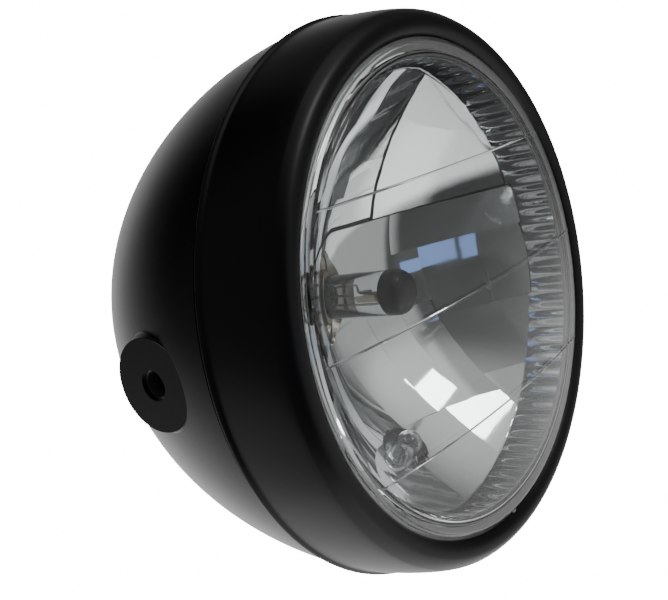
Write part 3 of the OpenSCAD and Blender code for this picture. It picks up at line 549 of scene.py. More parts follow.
dome_steps, optic_turns = 60, 320
step_r = dome_edge_r + 0.7
lens_front = np.concatenate([
    dome_profile(dome_edge_r - 0.6, dome_r, dome_steps),
    [[dome_edge_r - 0.15, lens_edge - 0.12], [dome_edge_r, lens_edge - 0.6], [step_r - 0.6, 1.0],
     [step_r, 0.7], [step_r + 0.1, -0.3], [step_r + 0.7, -0.6], [step_r + 0.8, flange_front],
     [optic_r, flange_front], [optic_r, flange_back], [foot_r + 0.2, flange_back]],
])
lens_inside = dome_profile(foot_r - fillet, dome_r - lens_t, dome_steps)[::-1]
fillet_start = np.array([foot_r, flange_back + 0.2])
fillet_end = lens_inside[0]
fillet_rise, fillet_lead = (0, 2.4), fillet * np.array([0.55, -0.09])
lens_fillet = cubic(fillet_start, fillet_start + fillet_rise, fillet_end + fillet_lead, fillet_end, 24)
lens_profile = np.concatenate([lens_front, lens_fillet[:-1], lens_inside])
points = spun(lens_profile, optic_turns).reshape(-1, 3)
faces = grid_faces(len(lens_profile), optic_turns, wrap_columns=True)
lens = mesh_piece("lens_pane", points, faces, lens_glass, closed=True, merge=True)
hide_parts("lens")
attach(lens, "root")

line_w, line_h, line_sunk = 0.8, 0.3, 0.02
mark_r, mark_w, mark_from, mark_to = 1.3, 0.3, 1.6, 5.6
line_points = 7
across = np.linspace(-1, 1, line_points)
arch = line_h * np.sqrt(np.maximum(1 - across**2, 0)) - line_sunk


def dome_ridge(x, z, wrap=False):
    """A raised line on the dome, from grids of x and z whose second direction runs across the
    line: the dome's middle plus the root of its radius squared less x and z squared, plus
    half an ellipse across the line."""
    forward = dome_mid + np.sqrt(dome_r**2 - x**2 - z**2) + arch
    points = np.stack([x, LIP_Y - forward, z], -1).reshape(-1, 3)
    return points, grid_faces(len(x), line_points, wrap_rows=wrap)


ridges = []
for height in (-42.0, 0.0, 42.0):
    reach = math.sqrt((dome_edge_r - 1) ** 2 - height**2)
    x, d = np.meshgrid(np.linspace(-reach, reach, 120), across, indexing="ij")
    ridges.append(dome_ridge(x, height + d * line_w / 2))
a, d = np.meshgrid(np.linspace(0, 2 * math.pi, 40, endpoint=False), across, indexing="ij")
ring = mark_r + d * mark_w
ridges.append(dome_ridge(ring * np.cos(a), ring * np.sin(a), wrap=True))
for way in (-1, 1):
    z, d = np.meshgrid(way * np.linspace(mark_from, mark_to, 12), across, indexing="ij")
    ridges.append(dome_ridge(d * line_w / 2, z))
points, faces = joined(ridges)
lines = mesh_piece("lens_lines", points, faces, lens_glass, facing="forward")
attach(lines, "root")

nub_profile = np.array([[0, -0.9], [1.1, -0.9], [1.1, 1.2], [0.9, 1.5], [0.5, 1.65], [0, 1.7]])
nub_turns = 24
points = spun(nub_profile, nub_turns)
points[..., 2] -= dome_edge_r + 0.9
faces = grid_faces(len(nub_profile), nub_turns, wrap_columns=True)
nub = mesh_piece("lens_nub", points.reshape(-1, 3), faces, lens_glass, facing="forward")
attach(nub, "root")

# Seal
# A bead of grey sealant between the glass and the reflector, squeezed a little inwards, so that
# it shows through the glass's border.
sealant, tree, shader = new_material("grey_silicone_sealant")
# Cured silicone: pale grey, half dull, with slow lumps about 4 mm long
where = add_node(tree, "ShaderNodeTexCoord").outputs["Object"]
lumps = add_node(tree, "ShaderNodeTexNoise", {"Vector": where, "Scale": 250.0, "Detail": 2.0})
bump = add_node(tree, "ShaderNodeBump", {"Height": lumps.outputs["Fac"], "Strength": 0.2, "Distance": 0.0005})
tint = add_node(tree, "ShaderNodeMix", {0: lumps.outputs["Fac"], 6: linear("c6c7c5"), 7: linear("d3d4d2")},
                data_type="RGBA")
set_inputs(shader, {"Base Color": tint.outputs[2], "Normal": bump.outputs[0], "Roughness": 0.4})
seal_front, seal_back = flange_back + 0.04, flange_back - 0.77
seal_in, seal_out = foot_r + 0.3, optic_r - 0.8
seal_profile = [
    (seal_in + 0.2, seal_front), (seal_out, seal_front), (seal_out, seal_back), (seal_in + 0.3, seal_back),
    (seal_in, seal_back + 0.3),
]
seal = ring_piece("seal_bead", seal_profile, optic_turns, sealant, sharp=30)
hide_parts("lens_seal")
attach(seal, "root")

# Reflector
# A moulded plastic bowl of 30.9 mm focal length, coated with vacuum aluminium under lacquer.
# It is stepped into rectangular fields, each bent a little from the base curve towards its own
# sphere. A skirt, whose flutes run out towards the bowl, joins it to the front flange.
bowl_depth, bowl_edge_r, bowl_front, top_setback, side_forward = 73.0, lip_r - 4.0, -20.0, 1.2, 1.0
focal = bowl_edge_r**2 / (4 * (bowl_depth + bowl_front))
ledge_up, ledge_down, bulb_hole_r, park_hole_r = 22.0, 17.0, 19.0, 10.0
sphere_share, grid_pitch, step_depth = 0.25, 0.7, 3.4
skirt_r, skirt_back_r = bowl_edge_r + 0.5, bowl_edge_r + 3.5
flute_count, flute_mid, flute_wave = 72, 0.7, 0.42
reflector_front = flange_back - 0.8


def base_fwd(r):
    """The base curve: a paraboloid, the radius squared over four focal lengths."""
    return r**2 / (4 * focal) - bowl_depth


# The fields' borders, as shares of the bowl's radius: how far to the side they lie in the top,
# side, low and foot groups, and the heights of the rows
top = bowl_edge_r * np.array([0.149, 0.28, 0.435])
side = bowl_edge_r * np.array([0.224, 0.509, 0.621])
low = bowl_edge_r * np.array([0.087, 0.311, 0.478])
foot = bowl_edge_r * 0.36
row_top, row_mid, row_crease, row_side, row_low, row_foot = bowl_edge_r * np.array(
    [0.571, 0.422, 0.071, -0.298, -0.621, -0.702])
beyond = 200.0
top_right = [
    (top[0], top[1], ledge_up, row_mid), (top[0], top[1], row_mid, beyond),
    (top[1], top[2], ledge_up, row_top), (top[1], top[2], row_top, beyond),
]
side_right = [
    (side[0], side[1], row_crease, ledge_up), (side[1], beyond, row_crease, ledge_up),
    (side[0], side[2], -ledge_down, row_crease), (side[2], beyond, row_side, row_crease),
]
corner_and_low_right = [
    (top[2], beyond, ledge_up, beyond),
    (low[0], low[1], row_foot, -ledge_down), (low[1], low[2], row_foot, -ledge_down),
    (low[2], side[2], row_foot, -ledge_down), (side[2], beyond, row_low, row_side),
    (side[2], beyond, -beyond, row_low), (0, foot, -beyond, row_foot), (foot, side[2], -beyond, row_foot),
]
fields = [
    (-top[0], top[0], ledge_up, beyond, -top_setback),
    (-side[0], side[0], -ledge_down, ledge_up, side_forward),
    (-low[0], low[0], row_foot, -ledge_down, 0.0),
]
for group, height in ((top_right, -top_setback), (side_right, side_forward), (corner_and_low_right, 0.0)):
    fields += [(*f, height) for f in group] + [(-f[1], -f[0], f[2], f[3], height) for f in group]


def field_sphere(field):
    """Middle and radius of a field's sphere. In the field's middle it runs along the base
    curve at the field's height, and its radius is two focal lengths times one plus the
    slope squared."""
    x0, x1, y0, y1, height = field

    def inside(a, b):
        return math.copysign(min(abs(a), math.sqrt(max(bowl_edge_r**2 - b**2, 0))), a)

    near_x, near_y = min(abs(x0), abs(x1)), min(abs(y0), abs(y1))
    middle = np.array([inside(x0, near_y) + inside(x1, near_y), inside(y0, near_x) + inside(y1, near_x)]) / 2
    r = np.linalg.norm(middle)
    slope = r / (2 * focal)
    radius = 2 * focal * (1 + slope**2)
    lean = math.atan(slope)
    towards = -middle / r if r > 0 else middle
    centre = middle + radius * math.sin(lean) * towards
    return np.array([*centre, base_fwd(r) + height + radius * math.cos(lean)]), radius


def field_fwd(x, y, height, centre, radius):
    """Forward position of a field: the base curve at the field's height, and a share of the
    rest of the way to the rear side of the field's sphere."""
    base = base_fwd(np.hypot(x, y)) + height
    sphere = centre[2] - np.sqrt(np.maximum(radius**2 - (x - centre[0]) ** 2 - (y - centre[1]) ** 2, 0))
    return base + sphere_share * (sphere - base)


park_inset = 19.0
park_down = bowl_edge_r - park_inset
park_lean = math.atan(park_down / (2 * focal))
park_across = np.array([0, math.cos(park_lean), -math.sin(park_lean)])
park_ahead = np.array([0, math.sin(park_lean), math.cos(park_lean)])
park_place = np.array([0, -park_down, base_fwd(park_down)])


def field_parts(field):
    """One field as a grid whose columns end at the bowl's round edge, with the two bulb holes
    cut out, and a wall behind each of its straight borders, down to the step's depth behind
    the base curve. Round the small hole the field's height is found in a few rounds."""
    x0, x1, y0, y1, height = field
    centre, radius = field_sphere(field)
    near = 0 if y0 < 0 < y1 else min(abs(y0), abs(y1))
    reach = math.sqrt(bowl_edge_r**2 - near**2)
    x0, x1 = max(x0, -reach), min(x1, reach)
    x = np.linspace(x0, x1, max(8, int((x1 - x0) / grid_pitch)))[:, None]
    rim_y = np.sqrt(np.maximum(bowl_edge_r**2 - x**2, 0))
    lo, hi = np.clip(y0, -rim_y, rim_y), np.clip(y1, -rim_y, rim_y)
    rows = max(8, int((hi - lo).max() / grid_pitch))
    y = lo + (hi - lo) * np.linspace(0, 1, rows)
    x = np.broadcast_to(x, y.shape)
    flat = np.stack([x.ravel(), y.ravel()], -1)
    faces = grid_faces(*y.shape)
    faces, inside, scale = cut_round(flat, faces, flat, np.ones(len(flat), bool), bulb_hole_r)
    flat = flat * scale[:, None]
    local = np.append(flat, field_fwd(flat[:, 0], flat[:, 1], height, centre, radius)[:, None], 1)
    offset = np.stack([local[:, 0], (local - park_place) @ park_across], -1)
    faces, inside, scale = cut_round(local, faces, offset, np.ones(len(flat), bool), park_hole_r)
    moved_x, moved_y, moved_across = local[:, 0] * scale, local[:, 1], offset[:, 1] * scale
    for _ in range(6):
        rise = (field_fwd(moved_x, moved_y, height, centre, radius) - park_place[2]) * math.sin(park_lean)
        level = (moved_across + rise) / math.cos(park_lean) - park_down
        moved_y = np.where(inside, level, local[:, 1])
    local = np.stack([moved_x, moved_y, field_fwd(moved_x, moved_y, height, centre, radius)], -1)
    towards = centre - local
    mirror_part = (local, towards / np.linalg.norm(towards, axis=1, keepdims=True), faces)
    steps = []
    borders = [(True, 0, (-1, 0)), (True, -1, (1, 0)), (False, 0, (0, -1)), (False, -1, (0, 1))]
    for fixed_x, border, out in borders:
        line_x, line_y = (x[border], y[border]) if fixed_x else (x[:, border], y[:, border])
        clear = np.hypot(line_x, line_y) < bowl_edge_r - 0.01
        clear &= np.hypot(line_x, line_y) > bulb_hole_r
        fwd = field_fwd(line_x, line_y, height, centre, radius)
        line = np.stack([line_x, line_y, fwd], -1)
        clear &= np.hypot(line_x, (line - park_place) @ park_across) > park_hole_r
        kept = clear[:-1] & clear[1:]
        if not kept.any():
            continue
        foot_fwd = np.minimum(base_fwd(np.hypot(line_x, line_y)) - step_depth, fwd - 0.1)
        wall = np.stack([line, np.stack([line_x, line_y, foot_fwd], -1)])
        quads = grid_faces(2, len(line))[kept]
        normal = np.broadcast_to(np.array([*out, 0.0]), wall.shape)
        steps.append((wall.reshape(-1, 3), normal.reshape(-1, 3), quads))
    return mirror_part, steps


def to_row(points):
    """Points [x, up, forward] on the lamp's own axis as points of the row's frame."""
    return np.stack([points[..., 0], LIP_Y - points[..., 2], points[..., 1]], -1)


def turn_to_row(normals):
    """Directions on the lamp's own axis as directions of the row's frame."""
    return np.stack([normals[..., 0], -normals[..., 2], normals[..., 1]], -1)


aluminised, tree, shader = new_material("vacuum_aluminium_under_lacquer")
# Evaporated aluminium on moulded plastic: a near mirror, softened by the lacquer, with the
# moulding's faint waves about 10 mm long and a slight haze
where = add_node(tree, "ShaderNodeTexCoord").outputs["Object"]
waves = add_node(tree, "ShaderNodeTexNoise", {"Vector": where, "Scale": 100.0, "Detail": 2.0})
bump = add_node(tree, "ShaderNodeBump", {"Height": waves.outputs["Fac"], "Strength": 0.015,
                                         "Distance": 0.001})
haze = add_node(tree, "ShaderNodeTexNoise", {"Vector": where, "Scale": 45.0, "Detail": 5.0})
gloss = add_node(tree, "ShaderNodeMapRange", {"Value": haze.outputs["Fac"], "From Min": 0.3, "From Max": 0.7,
                                              "To Min": 0.02, "To Max": 0.07})
set_inputs(shader, {
    "Roughness": gloss.outputs[0], "Normal": bump.outputs[0], "Base Color": linear("e6e8e9"),
    "Metallic": 1.0,
})

made = [field_parts(f) for f in fields]
points, normals, faces = joined([mirror_part for mirror_part, _ in made])
mirror = mesh_piece("reflector_fields", to_row(points), faces, aluminised, normals=turn_to_row(normals))
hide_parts("reflector")
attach(mirror, "root")

painted_step_shade, tree, shader = new_material("painted_shade_on_reflector_steps")
# Painted shade in the creases between the fields: every step face is a dark, dull grey that is only partly
# metal, lighter and darker in random patches about 3 mm wide
where = add_node(tree, "ShaderNodeTexCoord").outputs["Object"]
step_patches = add_node(tree, "ShaderNodeTexNoise", {"Vector": where, "Scale": 300.0, "Detail": 3.0})
tint = add_node(tree, "ShaderNodeMix", {0: step_patches.outputs["Fac"], 6: linear("3c3f3f"), 7: linear("5d6060")},
                data_type="RGBA")
# Dark grey, dull and partly metal on all step faces: painted shade at the field borders
set_inputs(shader, {"Base Color": tint.outputs[2], "Metallic": 0.3, "Roughness": 0.5})
points, normals, faces = joined([step for _, steps in made for step in steps])
# The step walls carry the dark grey that paints shade into the borders between the fields
steps = mesh_piece("reflector_steps", to_row(points), faces, painted_step_shade, normals=turn_to_row(normals))
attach(steps, "root")

# The skirt's radius grows with its draft, and each flute is one wave of a cosine
per_flute = 16
angle = np.linspace(0, 2 * math.pi, flute_count * per_flute, endpoint=False)[None, :]
draft = np.linspace(0, 1, 16)[:, None]
radius = skirt_r + (flute_mid - flute_wave * np.cos(flute_count * angle)) * np.sin(math.pi * draft / 2)
fwd = bowl_front + (reflector_front - bowl_front) * draft + 0 * angle
grids = [(radius, fwd)]
for r_in, r_out, at in ((bowl_edge_r, radius[0], bowl_front), (radius[-1], optic_r, reflector_front)):
    ring = np.stack([r_in + 0 * angle[0], r_out + 0 * angle[0]])
    grids.append((ring, np.full(ring.shape, at)))
sets = []
for r, forward in grids:
    points = np.stack([r * np.cos(angle), LIP_Y - forward, r * np.sin(angle)], -1)
    sets.append((points.reshape(-1, 3), grid_faces(*r.shape, wrap_columns=True)))
skirt = mesh_piece("reflector_skirt", *joined(sets), aluminised, facing="inward", sharp=60)
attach(skirt, "root")

neck_r, neck_back, spigot_r, spigot_t, bowl_t, flange_t = 24.0, -79.0, 36.0, 2.0, 5.0, 2.0
spigot_back = neck_back + 4
behind = np.linspace(spigot_r, bowl_edge_r + 3, 24)
moulding = [
    (bulb_hole_r, base_fwd(bulb_hole_r) + 1.0), (bulb_hole_r, neck_back), (neck_r, neck_back),
    (neck_r, base_fwd(neck_r) - bowl_t), (spigot_r - spigot_t, base_fwd(spigot_r) - bowl_t),
    (spigot_r - spigot_t, spigot_back), (spigot_r, spigot_back),
    *[(r, base_fwd(r) - bowl_t) for r in behind],
    (skirt_back_r, bowl_front - 1), (skirt_back_r, reflector_front - flange_t),
    (optic_r, reflector_front - flange_t), (optic_r, reflector_front),
]
points, normals, faces = strip(moulding, 240, flip=True)
back = mesh_piece("reflector_moulding", points, faces, aluminised, normals=normals)
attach(back, "root")

# Main bulb
# A two-filament halogen bulb: quartz tube, black coat on its tip, nickel leads, tungsten coils
# and a small cup under the dipped coil. Its cap's flange lies on the reflector's neck, where
# the wire clip holds it.
flange_fwd = neck_back
glass_r, glass_t, glass_tip, glass_foot = 8.4, 1.0, flange_fwd + 55.0, flange_fwd + 7.0
tip_corner, bore_corner, bore_tip, bore_foot = 5.0, 4.4, glass_tip - 1.6, glass_foot + 6.0
coat_fwd, coat_t = glass_tip - 8.0, 0.04

quartz, tree, shader = new_material("clear_quartz_glass")
# Fused quartz: colourless with a drawn tube's long faint ripples
where = add_node(tree, "ShaderNodeTexCoord").outputs["Object"]
drawn = add_node(tree, "ShaderNodeMapping", {"Vector": where, "Scale": (400.0, 40.0, 400.0)})
ripple = add_node(tree, "ShaderNodeTexNoise", {"Vector": drawn.outputs[0], "Scale": 1.0, "Detail": 1.0})
bump = add_node(tree, "ShaderNodeBump", {"Height": ripple.outputs["Fac"], "Strength": 0.1,
                                         "Distance": 0.0005})
set_inputs(shader, {
    "Normal": bump.outputs[0], "Base Color": linear("fbfdfe"), "Roughness": 0.0, "IOR": 1.46,
    "Transmission Weight": 1.0,
})


def dome_end(radius, corner, front, steps):
    """The outline of a rounded end: a quarter circle of the corner's radius, then straight
    in to the axis."""
    a = np.linspace(0, math.pi / 2, steps)
    bend = np.stack([radius - corner + corner * np.cos(a), front - corner + corner * np.sin(a)], -1)
    return np.concatenate([bend, [[0, front]]])


def glass_tube(name, outside, inside, turns, place=np.asarray):
    """A turned glass bulb from the outlines of its outer and inner skin, put in its place. The
    inner skin's quads are wound the other way."""
    skins = []
    for line, flip in ((outside, 1), (inside, -1)):
        faces = grid_faces(len(line), turns, wrap_columns=True)
        skins.append((place(spun(line, turns)).reshape(-1, 3), faces[:, ::flip]))
    return mesh_piece(name, *joined(skins), quartz, closed=True, merge=True)


bore_r = glass_r - glass_t
tube_out = np.concatenate([[[0, glass_foot], [glass_r - 1, glass_foot], [glass_r, glass_foot + 1]],
                           dome_end(glass_r, tip_corner, glass_tip, 16)])
tube_in = np.concatenate([[[0, bore_foot], [bore_r - 1, bore_foot], [bore_r, bore_foot + 2]],
                          dome_end(bore_r, bore_corner, bore_tip, 16)])
tube = glass_tube("bulb_tube", tube_out, tube_in, 96)
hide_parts("bulb_glass")
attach(tube, "root")

black_coat, tree, shader = new_material("black_heat_proof_coat")
# Iron-oxide paint baked on the quartz: dull black and slightly grainy
where = add_node(tree, "ShaderNodeTexCoord").outputs["Object"]
grain = add_node(tree, "ShaderNodeTexNoise", {"Vector": where, "Scale": 1500.0, "Detail": 3.0})
bump = add_node(tree, "ShaderNodeBump", {"Height": grain.outputs["Fac"], "Strength": 0.2, "Distance": 0.0002})
tint = add_node(tree, "ShaderNodeMix", {0: grain.outputs["Fac"], 6: linear("141514"), 7: linear("1e1f1e")},
                data_type="RGBA")
set_inputs(shader, {"Base Color": tint.outputs[2], "Normal": bump.outputs[0], "Roughness": 0.42})
coat_r, coat_turns = glass_r + coat_t, 96
coat_profile = np.concatenate([[[coat_r, coat_fwd]], dome_end(coat_r, tip_corner, glass_tip + coat_t, 20)])
points = spun(coat_profile, coat_turns).reshape(-1, 3)
faces = grid_faces(len(coat_profile), coat_turns, wrap_columns=True)
coat = mesh_piece("bulb_coat", points, faces, black_coat, facing="outward", merge=True)
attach(coat, "root")

nickel, tree, shader = new_material("drawn_nickel_wire")
# Bright nickel, slightly browned by heat in patches a few millimetres long
where = add_node(tree, "ShaderNodeTexCoord").outputs["Object"]
heat = add_node(tree, "ShaderNodeTexNoise", {"Vector": where, "Scale": 250.0, "Detail": 3.0})
tint = add_node(tree, "ShaderNodeMix", {0: heat.outputs["Fac"], 6: linear("c9c4b6"), 7: linear("9c8468")},
                data_type="RGBA")
set_inputs(shader, {"Base Color": tint.outputs[2], "Metallic": 1.0, "Roughness": 0.25})


def wire(path, radius, sides=12):
    """A round wire along a path of [x, up, forward] points: a circle in the plane of two
    directions square to the path at each point, with its ends drawn together."""
    path = np.asarray(path, float)
    run = np.gradient(path, axis=0)
    run /= np.linalg.norm(run, axis=1, keepdims=True)
    guide = np.where(np.abs(run[:, :1]) > 0.9, [[0.0, 0.0, 1.0]], [[1.0, 0.0, 0.0]])
    first = np.cross(run, guide)
    first /= np.linalg.norm(first, axis=1, keepdims=True)
    second = np.cross(run, first)
    a = np.linspace(0, 2 * math.pi, sides, endpoint=False)[None, :, None]
    width = np.full((len(path), 1, 1), radius)
    width[0], width[-1] = radius * 0.05, radius * 0.05
    rings = path[:, None] + width * (np.cos(a) * first[:, None] + np.sin(a) * second[:, None])
    return to_row(rings).reshape(-1, 3), grid_faces(len(path), sides, wrap_columns=True)


def bent(*corners, turn=0.8):
    """A path through corners whose bends are rounded: each corner is replaced by a quadratic
    curve between the points one turn before and after it."""
    corners = [np.array(c, float) for c in corners]
    path = [corners[0], corners[0] + (corners[1] - corners[0]) * 0.02]
    for before, corner, after in zip(corners[:-2], corners[1:-1], corners[2:]):
        start = corner + (before - corner) / np.linalg.norm(before - corner) * turn
        end = corner + (after - corner) / np.linalg.norm(after - corner) * turn
        t = np.linspace(0, 1, 7)[:, None]
        path.extend((1 - t) ** 2 * start + 2 * t * (1 - t) * corner + t**2 * end)
    path.extend([corners[-1] + (corners[-2] - corners[-1]) * 0.02, corners[-1]])
    return np.array(path)


lead_off, lead_r, coil_up = 4.0, 0.5, 0.9
driving_from, driving_to = glass_tip - 31.5, glass_tip - 27.0
dipped_from, dipped_to = glass_tip - 22.5, glass_tip - 16.5
root_fwd = glass_foot + 5
lead_paths = [
    bent((0, lead_off, root_fwd), (0, lead_off, dipped_from - 0.4), (0, coil_up, dipped_from - 0.4)),
    bent((0, -lead_off, root_fwd), (0, -lead_off, dipped_to + 2.0), (0, -3.0, dipped_to + 2.3)),
    bent((0, 0, root_fwd), (0, 0, (root_fwd + driving_from) / 2), (0, 0, driving_from)),
    bent((0, -lead_off, driving_to + 0.5), (0, -2, driving_to + 0.5), (0, 0, driving_to + 0.4)),
]
points, faces = joined([wire(path, lead_r) for path in lead_paths])
leads = mesh_piece("bulb_lead_wires", points, faces, nickel, closed=True)
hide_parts("bulb_leads")
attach(leads, "root")

tungsten, tree, shader = new_material("drawn_tungsten")
# Drawn tungsten: a grey metal, dulled by firing
where = add_node(tree, "ShaderNodeTexCoord").outputs["Object"]
grain = add_node(tree, "ShaderNodeTexNoise", {"Vector": where, "Scale": 2500.0, "Detail": 2.0})
gloss = add_node(tree, "ShaderNodeMapRange", {"Value": grain.outputs["Fac"], "To Min": 0.3, "To Max": 0.5})
set_inputs(shader, {"Roughness": gloss.outputs[0], "Base Color": linear("a8a49c"), "Metallic": 1.0})
strand_r = 0.16
coil_r = 0.8 - strand_r
for name, start, end, up, turns in (("dipped", dipped_from, dipped_to, coil_up, 14),
                                    ("driving", driving_from, driving_to, 0.0, 11)):
    a = np.linspace(0, 2 * math.pi * turns, turns * 16)
    along = np.linspace(start + strand_r, end - strand_r, len(a))
    points, faces = wire(np.stack([coil_r * np.cos(a), up + coil_r * np.sin(a), along], -1), strand_r, 8)
    coil = mesh_piece(f"{name}_coil", points, faces, tungsten, closed=True)
    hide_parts(f"{name}_filament")
    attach(coil, "root")

cup_r, cup_t, cup_up, cup_from, cup_to = 3.2, 0.4, 0.2, dipped_from - 0.5, dipped_to + 3.0
cup_turn = np.linspace(math.pi, 2 * math.pi, 40)
a, f = np.meshgrid(cup_turn, np.linspace(cup_from, cup_to, 12), indexing="ij")
skins = [np.stack([r * np.cos(a), r * np.sin(a) + cup_up, f], -1) for r in (cup_r, cup_r - cup_t)]
cup_body = np.concatenate([skins[0], skins[1][::-1]])
r, a = np.meshgrid(np.linspace(0, cup_r - 0.1, 6), cup_turn, indexing="ij")
cup_end = np.stack([r * np.cos(a), r * np.sin(a) + cup_up, np.full(a.shape, cup_to - 0.2)], -1)
points, faces = joined([
    (to_row(cup_body).reshape(-1, 3), grid_faces(*cup_body.shape[:2], wrap_rows=True)),
    (to_row(cup_end).reshape(-1, 3), grid_faces(*cup_end.shape[:2])),
])
cup = mesh_piece("dipped_cup", points, faces, nickel, sharp=40)
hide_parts("dipped_beam_shield")
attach(cup, "root")

cap_steel, tree, shader = new_material("nickel_plated_steel_cap")
# Drawn steel with dull nickel: soft grey metal with slightly brown stains about 8 mm wide
where = add_node(tree, "ShaderNodeTexCoord").outputs["Object"]
stain = add_node(tree, "ShaderNodeTexNoise", {"Vector": where, "Scale": 120.0, "Detail": 4.0})
tint = add_node(tree, "ShaderNodeMix", {0: stain.outputs["Fac"], 6: linear("b9b6ae"), 7: linear("8d8375")},
                data_type="RGBA")
set_inputs(shader, {"Base Color": tint.outputs[2], "Metallic": 1.0, "Roughness": 0.32})
cap_r, cap_bore, cap_front, cap_step = 11.0, 9.05, flange_fwd + 13.0, flange_fwd + 2.5
cap_flange_r, cap_flange_back = 21.5, flange_fwd - 1.6
centring_r, glass_seat_r = bulb_hole_r - 0.6, glass_r + 0.05
cap_profile = [
    (cap_bore, cap_flange_back), (cap_flange_r, cap_flange_back), (cap_flange_r, flange_fwd),
    (centring_r, flange_fwd), (centring_r, cap_step - 0.2), (centring_r - 0.4, cap_step),
    (cap_r + 1, cap_step), (cap_r, cap_step + 1.1), (cap_r, cap_front - 0.6), (cap_r - 0.5, cap_front),
    (glass_seat_r, cap_front), (glass_seat_r, glass_foot), (cap_bore, cap_step + 0.1),
]
cap = ring_piece("bulb_cap", cap_profile, 120, cap_steel, sharp=30)
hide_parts("bulb_base")
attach(cap, "root")

# Parking bulb
# A small wedge-base bulb of plain glass in a black plastic holder. The holder is pushed into
# its own hole in the reflector, below the main bulb.
def on_parking_axis(points):
    """Points turned about the lamp's axis, moved to the parking bulb's own axis, which stands
    square to the base curve at its hole."""
    x, forward, up = points[..., 0], LIP_Y - points[..., 1], points[..., 2]
    right = np.array([1.0, 0, 0])
    sideways = x[..., None] * right + up[..., None] * park_across
    return to_row(park_place + sideways + forward[..., None] * park_ahead)


black_plastic, tree, shader = new_material("moulded_black_polyamide")
# Glass-filled polyamide: dull black with a fine spark-eroded grain about 0.3 mm wide
where = add_node(tree, "ShaderNodeTexCoord").outputs["Object"]
grain = add_node(tree, "ShaderNodeTexNoise", {"Vector": where, "Scale": 3000.0, "Detail": 2.0})
bump = add_node(tree, "ShaderNodeBump", {"Height": grain.outputs["Fac"], "Strength": 0.3, "Distance": 0.0002})
tint = add_node(tree, "ShaderNodeMix", {0: grain.outputs["Fac"], 6: linear("161617"), 7: linear("202021")},
                data_type="RGBA")
set_inputs(shader, {"Base Color": tint.outputs[2], "Normal": bump.outputs[0], "Roughness": 0.55})
holder_front, collar_front, collar_back, holder_back = -2.5, -9.05, -14.0, -21.0
park_glass_r, park_glass_len, park_glass_t = 5.0, 20.0, 0.8
holder_r, holder_collar_r, holder_tail_r = park_hole_r - 0.05, park_hole_r + 2.5, park_hole_r - 0.5
park_bore_r, park_well_r = park_glass_r + 0.05, park_glass_r + 2
park_foot = holder_front + 1 - park_glass_len / 2
holder_profile = np.array([
    (park_bore_r, park_foot), (park_bore_r, park_foot + 3), (park_well_r, park_foot + 3),
    (park_well_r, holder_front), (holder_r - 0.35, holder_front), (holder_r, holder_front - 0.4),
    (holder_r, collar_front), (holder_collar_r, collar_front), (holder_collar_r, collar_back),
    (holder_tail_r, collar_back), (holder_tail_r, holder_back), (0.0, holder_back), (0.0, park_foot),
])
holder_turns = 72
points = on_parking_axis(spun(holder_profile, holder_turns)).reshape(-1, 3)
faces = grid_faces(len(holder_profile), holder_turns, wrap_columns=True)
holder = mesh_piece("parking_holder", points, faces, black_plastic, closed=True, merge=True, sharp=30)
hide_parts("parking_bulb_holder")
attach(holder, "root")

park_tip, park_in_r = park_foot + park_glass_len, park_glass_r - park_glass_t
park_out = np.concatenate([[[0, park_foot], [park_glass_r, park_foot]],
                           dome_end(park_glass_r, park_glass_r, park_tip, 14)[:-1]])
park_in = np.concatenate([[[0, park_foot + 6], [park_in_r, park_foot + 6]],
                          dome_end(park_in_r, park_in_r, park_tip - park_glass_t, 14)[:-1]])
park_tube = glass_tube("parking_tube", park_out, park_in, 64, on_parking_axis)
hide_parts("parking_bulb_glass")
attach(park_tube, "root")

# Hidden fittings
# The pieces that stay as they were built: springs, straps, nuts and screws of zinc-plated or
# blackened steel, the rubber boot and grommet, and the bulbs' insulator, contacts and small
# filament.
zinc, tree, shader = new_material("bright_zinc_plate")
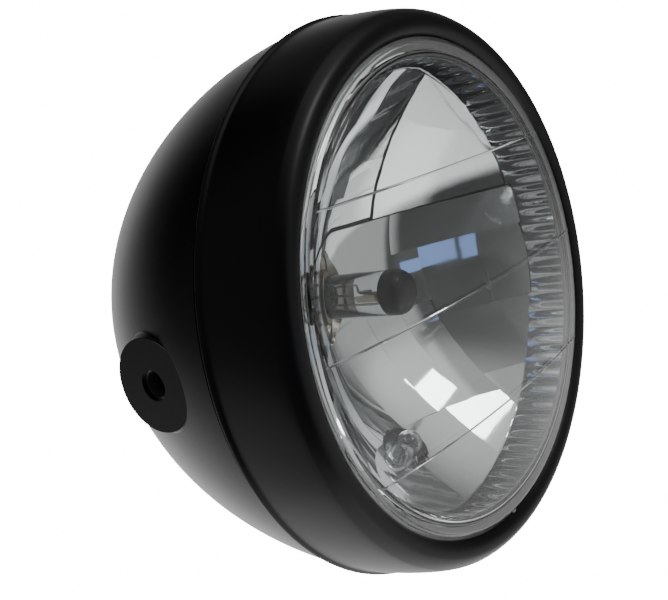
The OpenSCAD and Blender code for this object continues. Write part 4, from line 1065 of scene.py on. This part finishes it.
# Zinc plate over steel: pale grey metal with soft clouds a few millimetres wide
where = add_node(tree, "ShaderNodeTexCoord").outputs["Object"]
cloud = add_node(tree, "ShaderNodeTexNoise", {"Vector": where, "Scale": 200.0, "Detail": 4.0})
gloss = add_node(tree, "ShaderNodeMapRange", {"Value": cloud.outputs["Fac"], "To Min": 0.25, "To Max": 0.45})
tint = add_node(tree, "ShaderNodeMix", {0: cloud.outputs["Fac"], 6: linear("b4b6b8"), 7: linear("cfd0cf")},
                data_type="RGBA")
set_inputs(shader, {"Base Color": tint.outputs[2], "Roughness": gloss.outputs[0], "Metallic": 1.0})

rubber, tree, shader = new_material("moulded_black_rubber")
# Black rubber: very dull, with a faint bloom in patches about 10 mm wide
where = add_node(tree, "ShaderNodeTexCoord").outputs["Object"]
bloom = add_node(tree, "ShaderNodeTexNoise", {"Vector": where, "Scale": 100.0, "Detail": 5.0})
tint = add_node(tree, "ShaderNodeMix", {0: bloom.outputs["Fac"], 6: linear("121212"), 7: linear("1f1f1e")},
                data_type="RGBA")
set_inputs(shader, {"Base Color": tint.outputs[2], "Roughness": 0.7})

brass, tree, shader = new_material("tinned_brass_blade")
# Rolled brass with a thin tin coat: pale warm metal, streaked along the rolling
where = add_node(tree, "ShaderNodeTexCoord").outputs["Object"]
rolled = add_node(tree, "ShaderNodeMapping", {"Vector": where, "Scale": (2000.0, 60.0, 2000.0)})
streak = add_node(tree, "ShaderNodeTexNoise", {"Vector": rolled.outputs[0], "Scale": 1.0, "Detail": 2.0})
tint = add_node(tree, "ShaderNodeMix", {0: streak.outputs["Fac"], 6: linear("cbb983"), 7: linear("d9d2bd")},
                data_type="RGBA")
set_inputs(shader, {"Base Color": tint.outputs[2], "Metallic": 1.0, "Roughness": 0.3})

finishes = {
    zinc: ["side_weld_nuts", "rim_hook", "rim_screw_bracket", "rim_screw_nut", "optic_clips", "bulb_clip",
           "bulb_clip_screws"],
    rubber: ["bulb_boot", "cable_grommet"],
    brass: ["bulb_terminals", "parking_bulb_contacts"],
    black_plastic: ["bulb_insulator"],
    tungsten: ["parking_bulb_filament"],
    satin_black: ["rim_screw"],
}
for finish, names in finishes.items():
    for name in names:
        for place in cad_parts[name].material_slots:
            place.material = finish
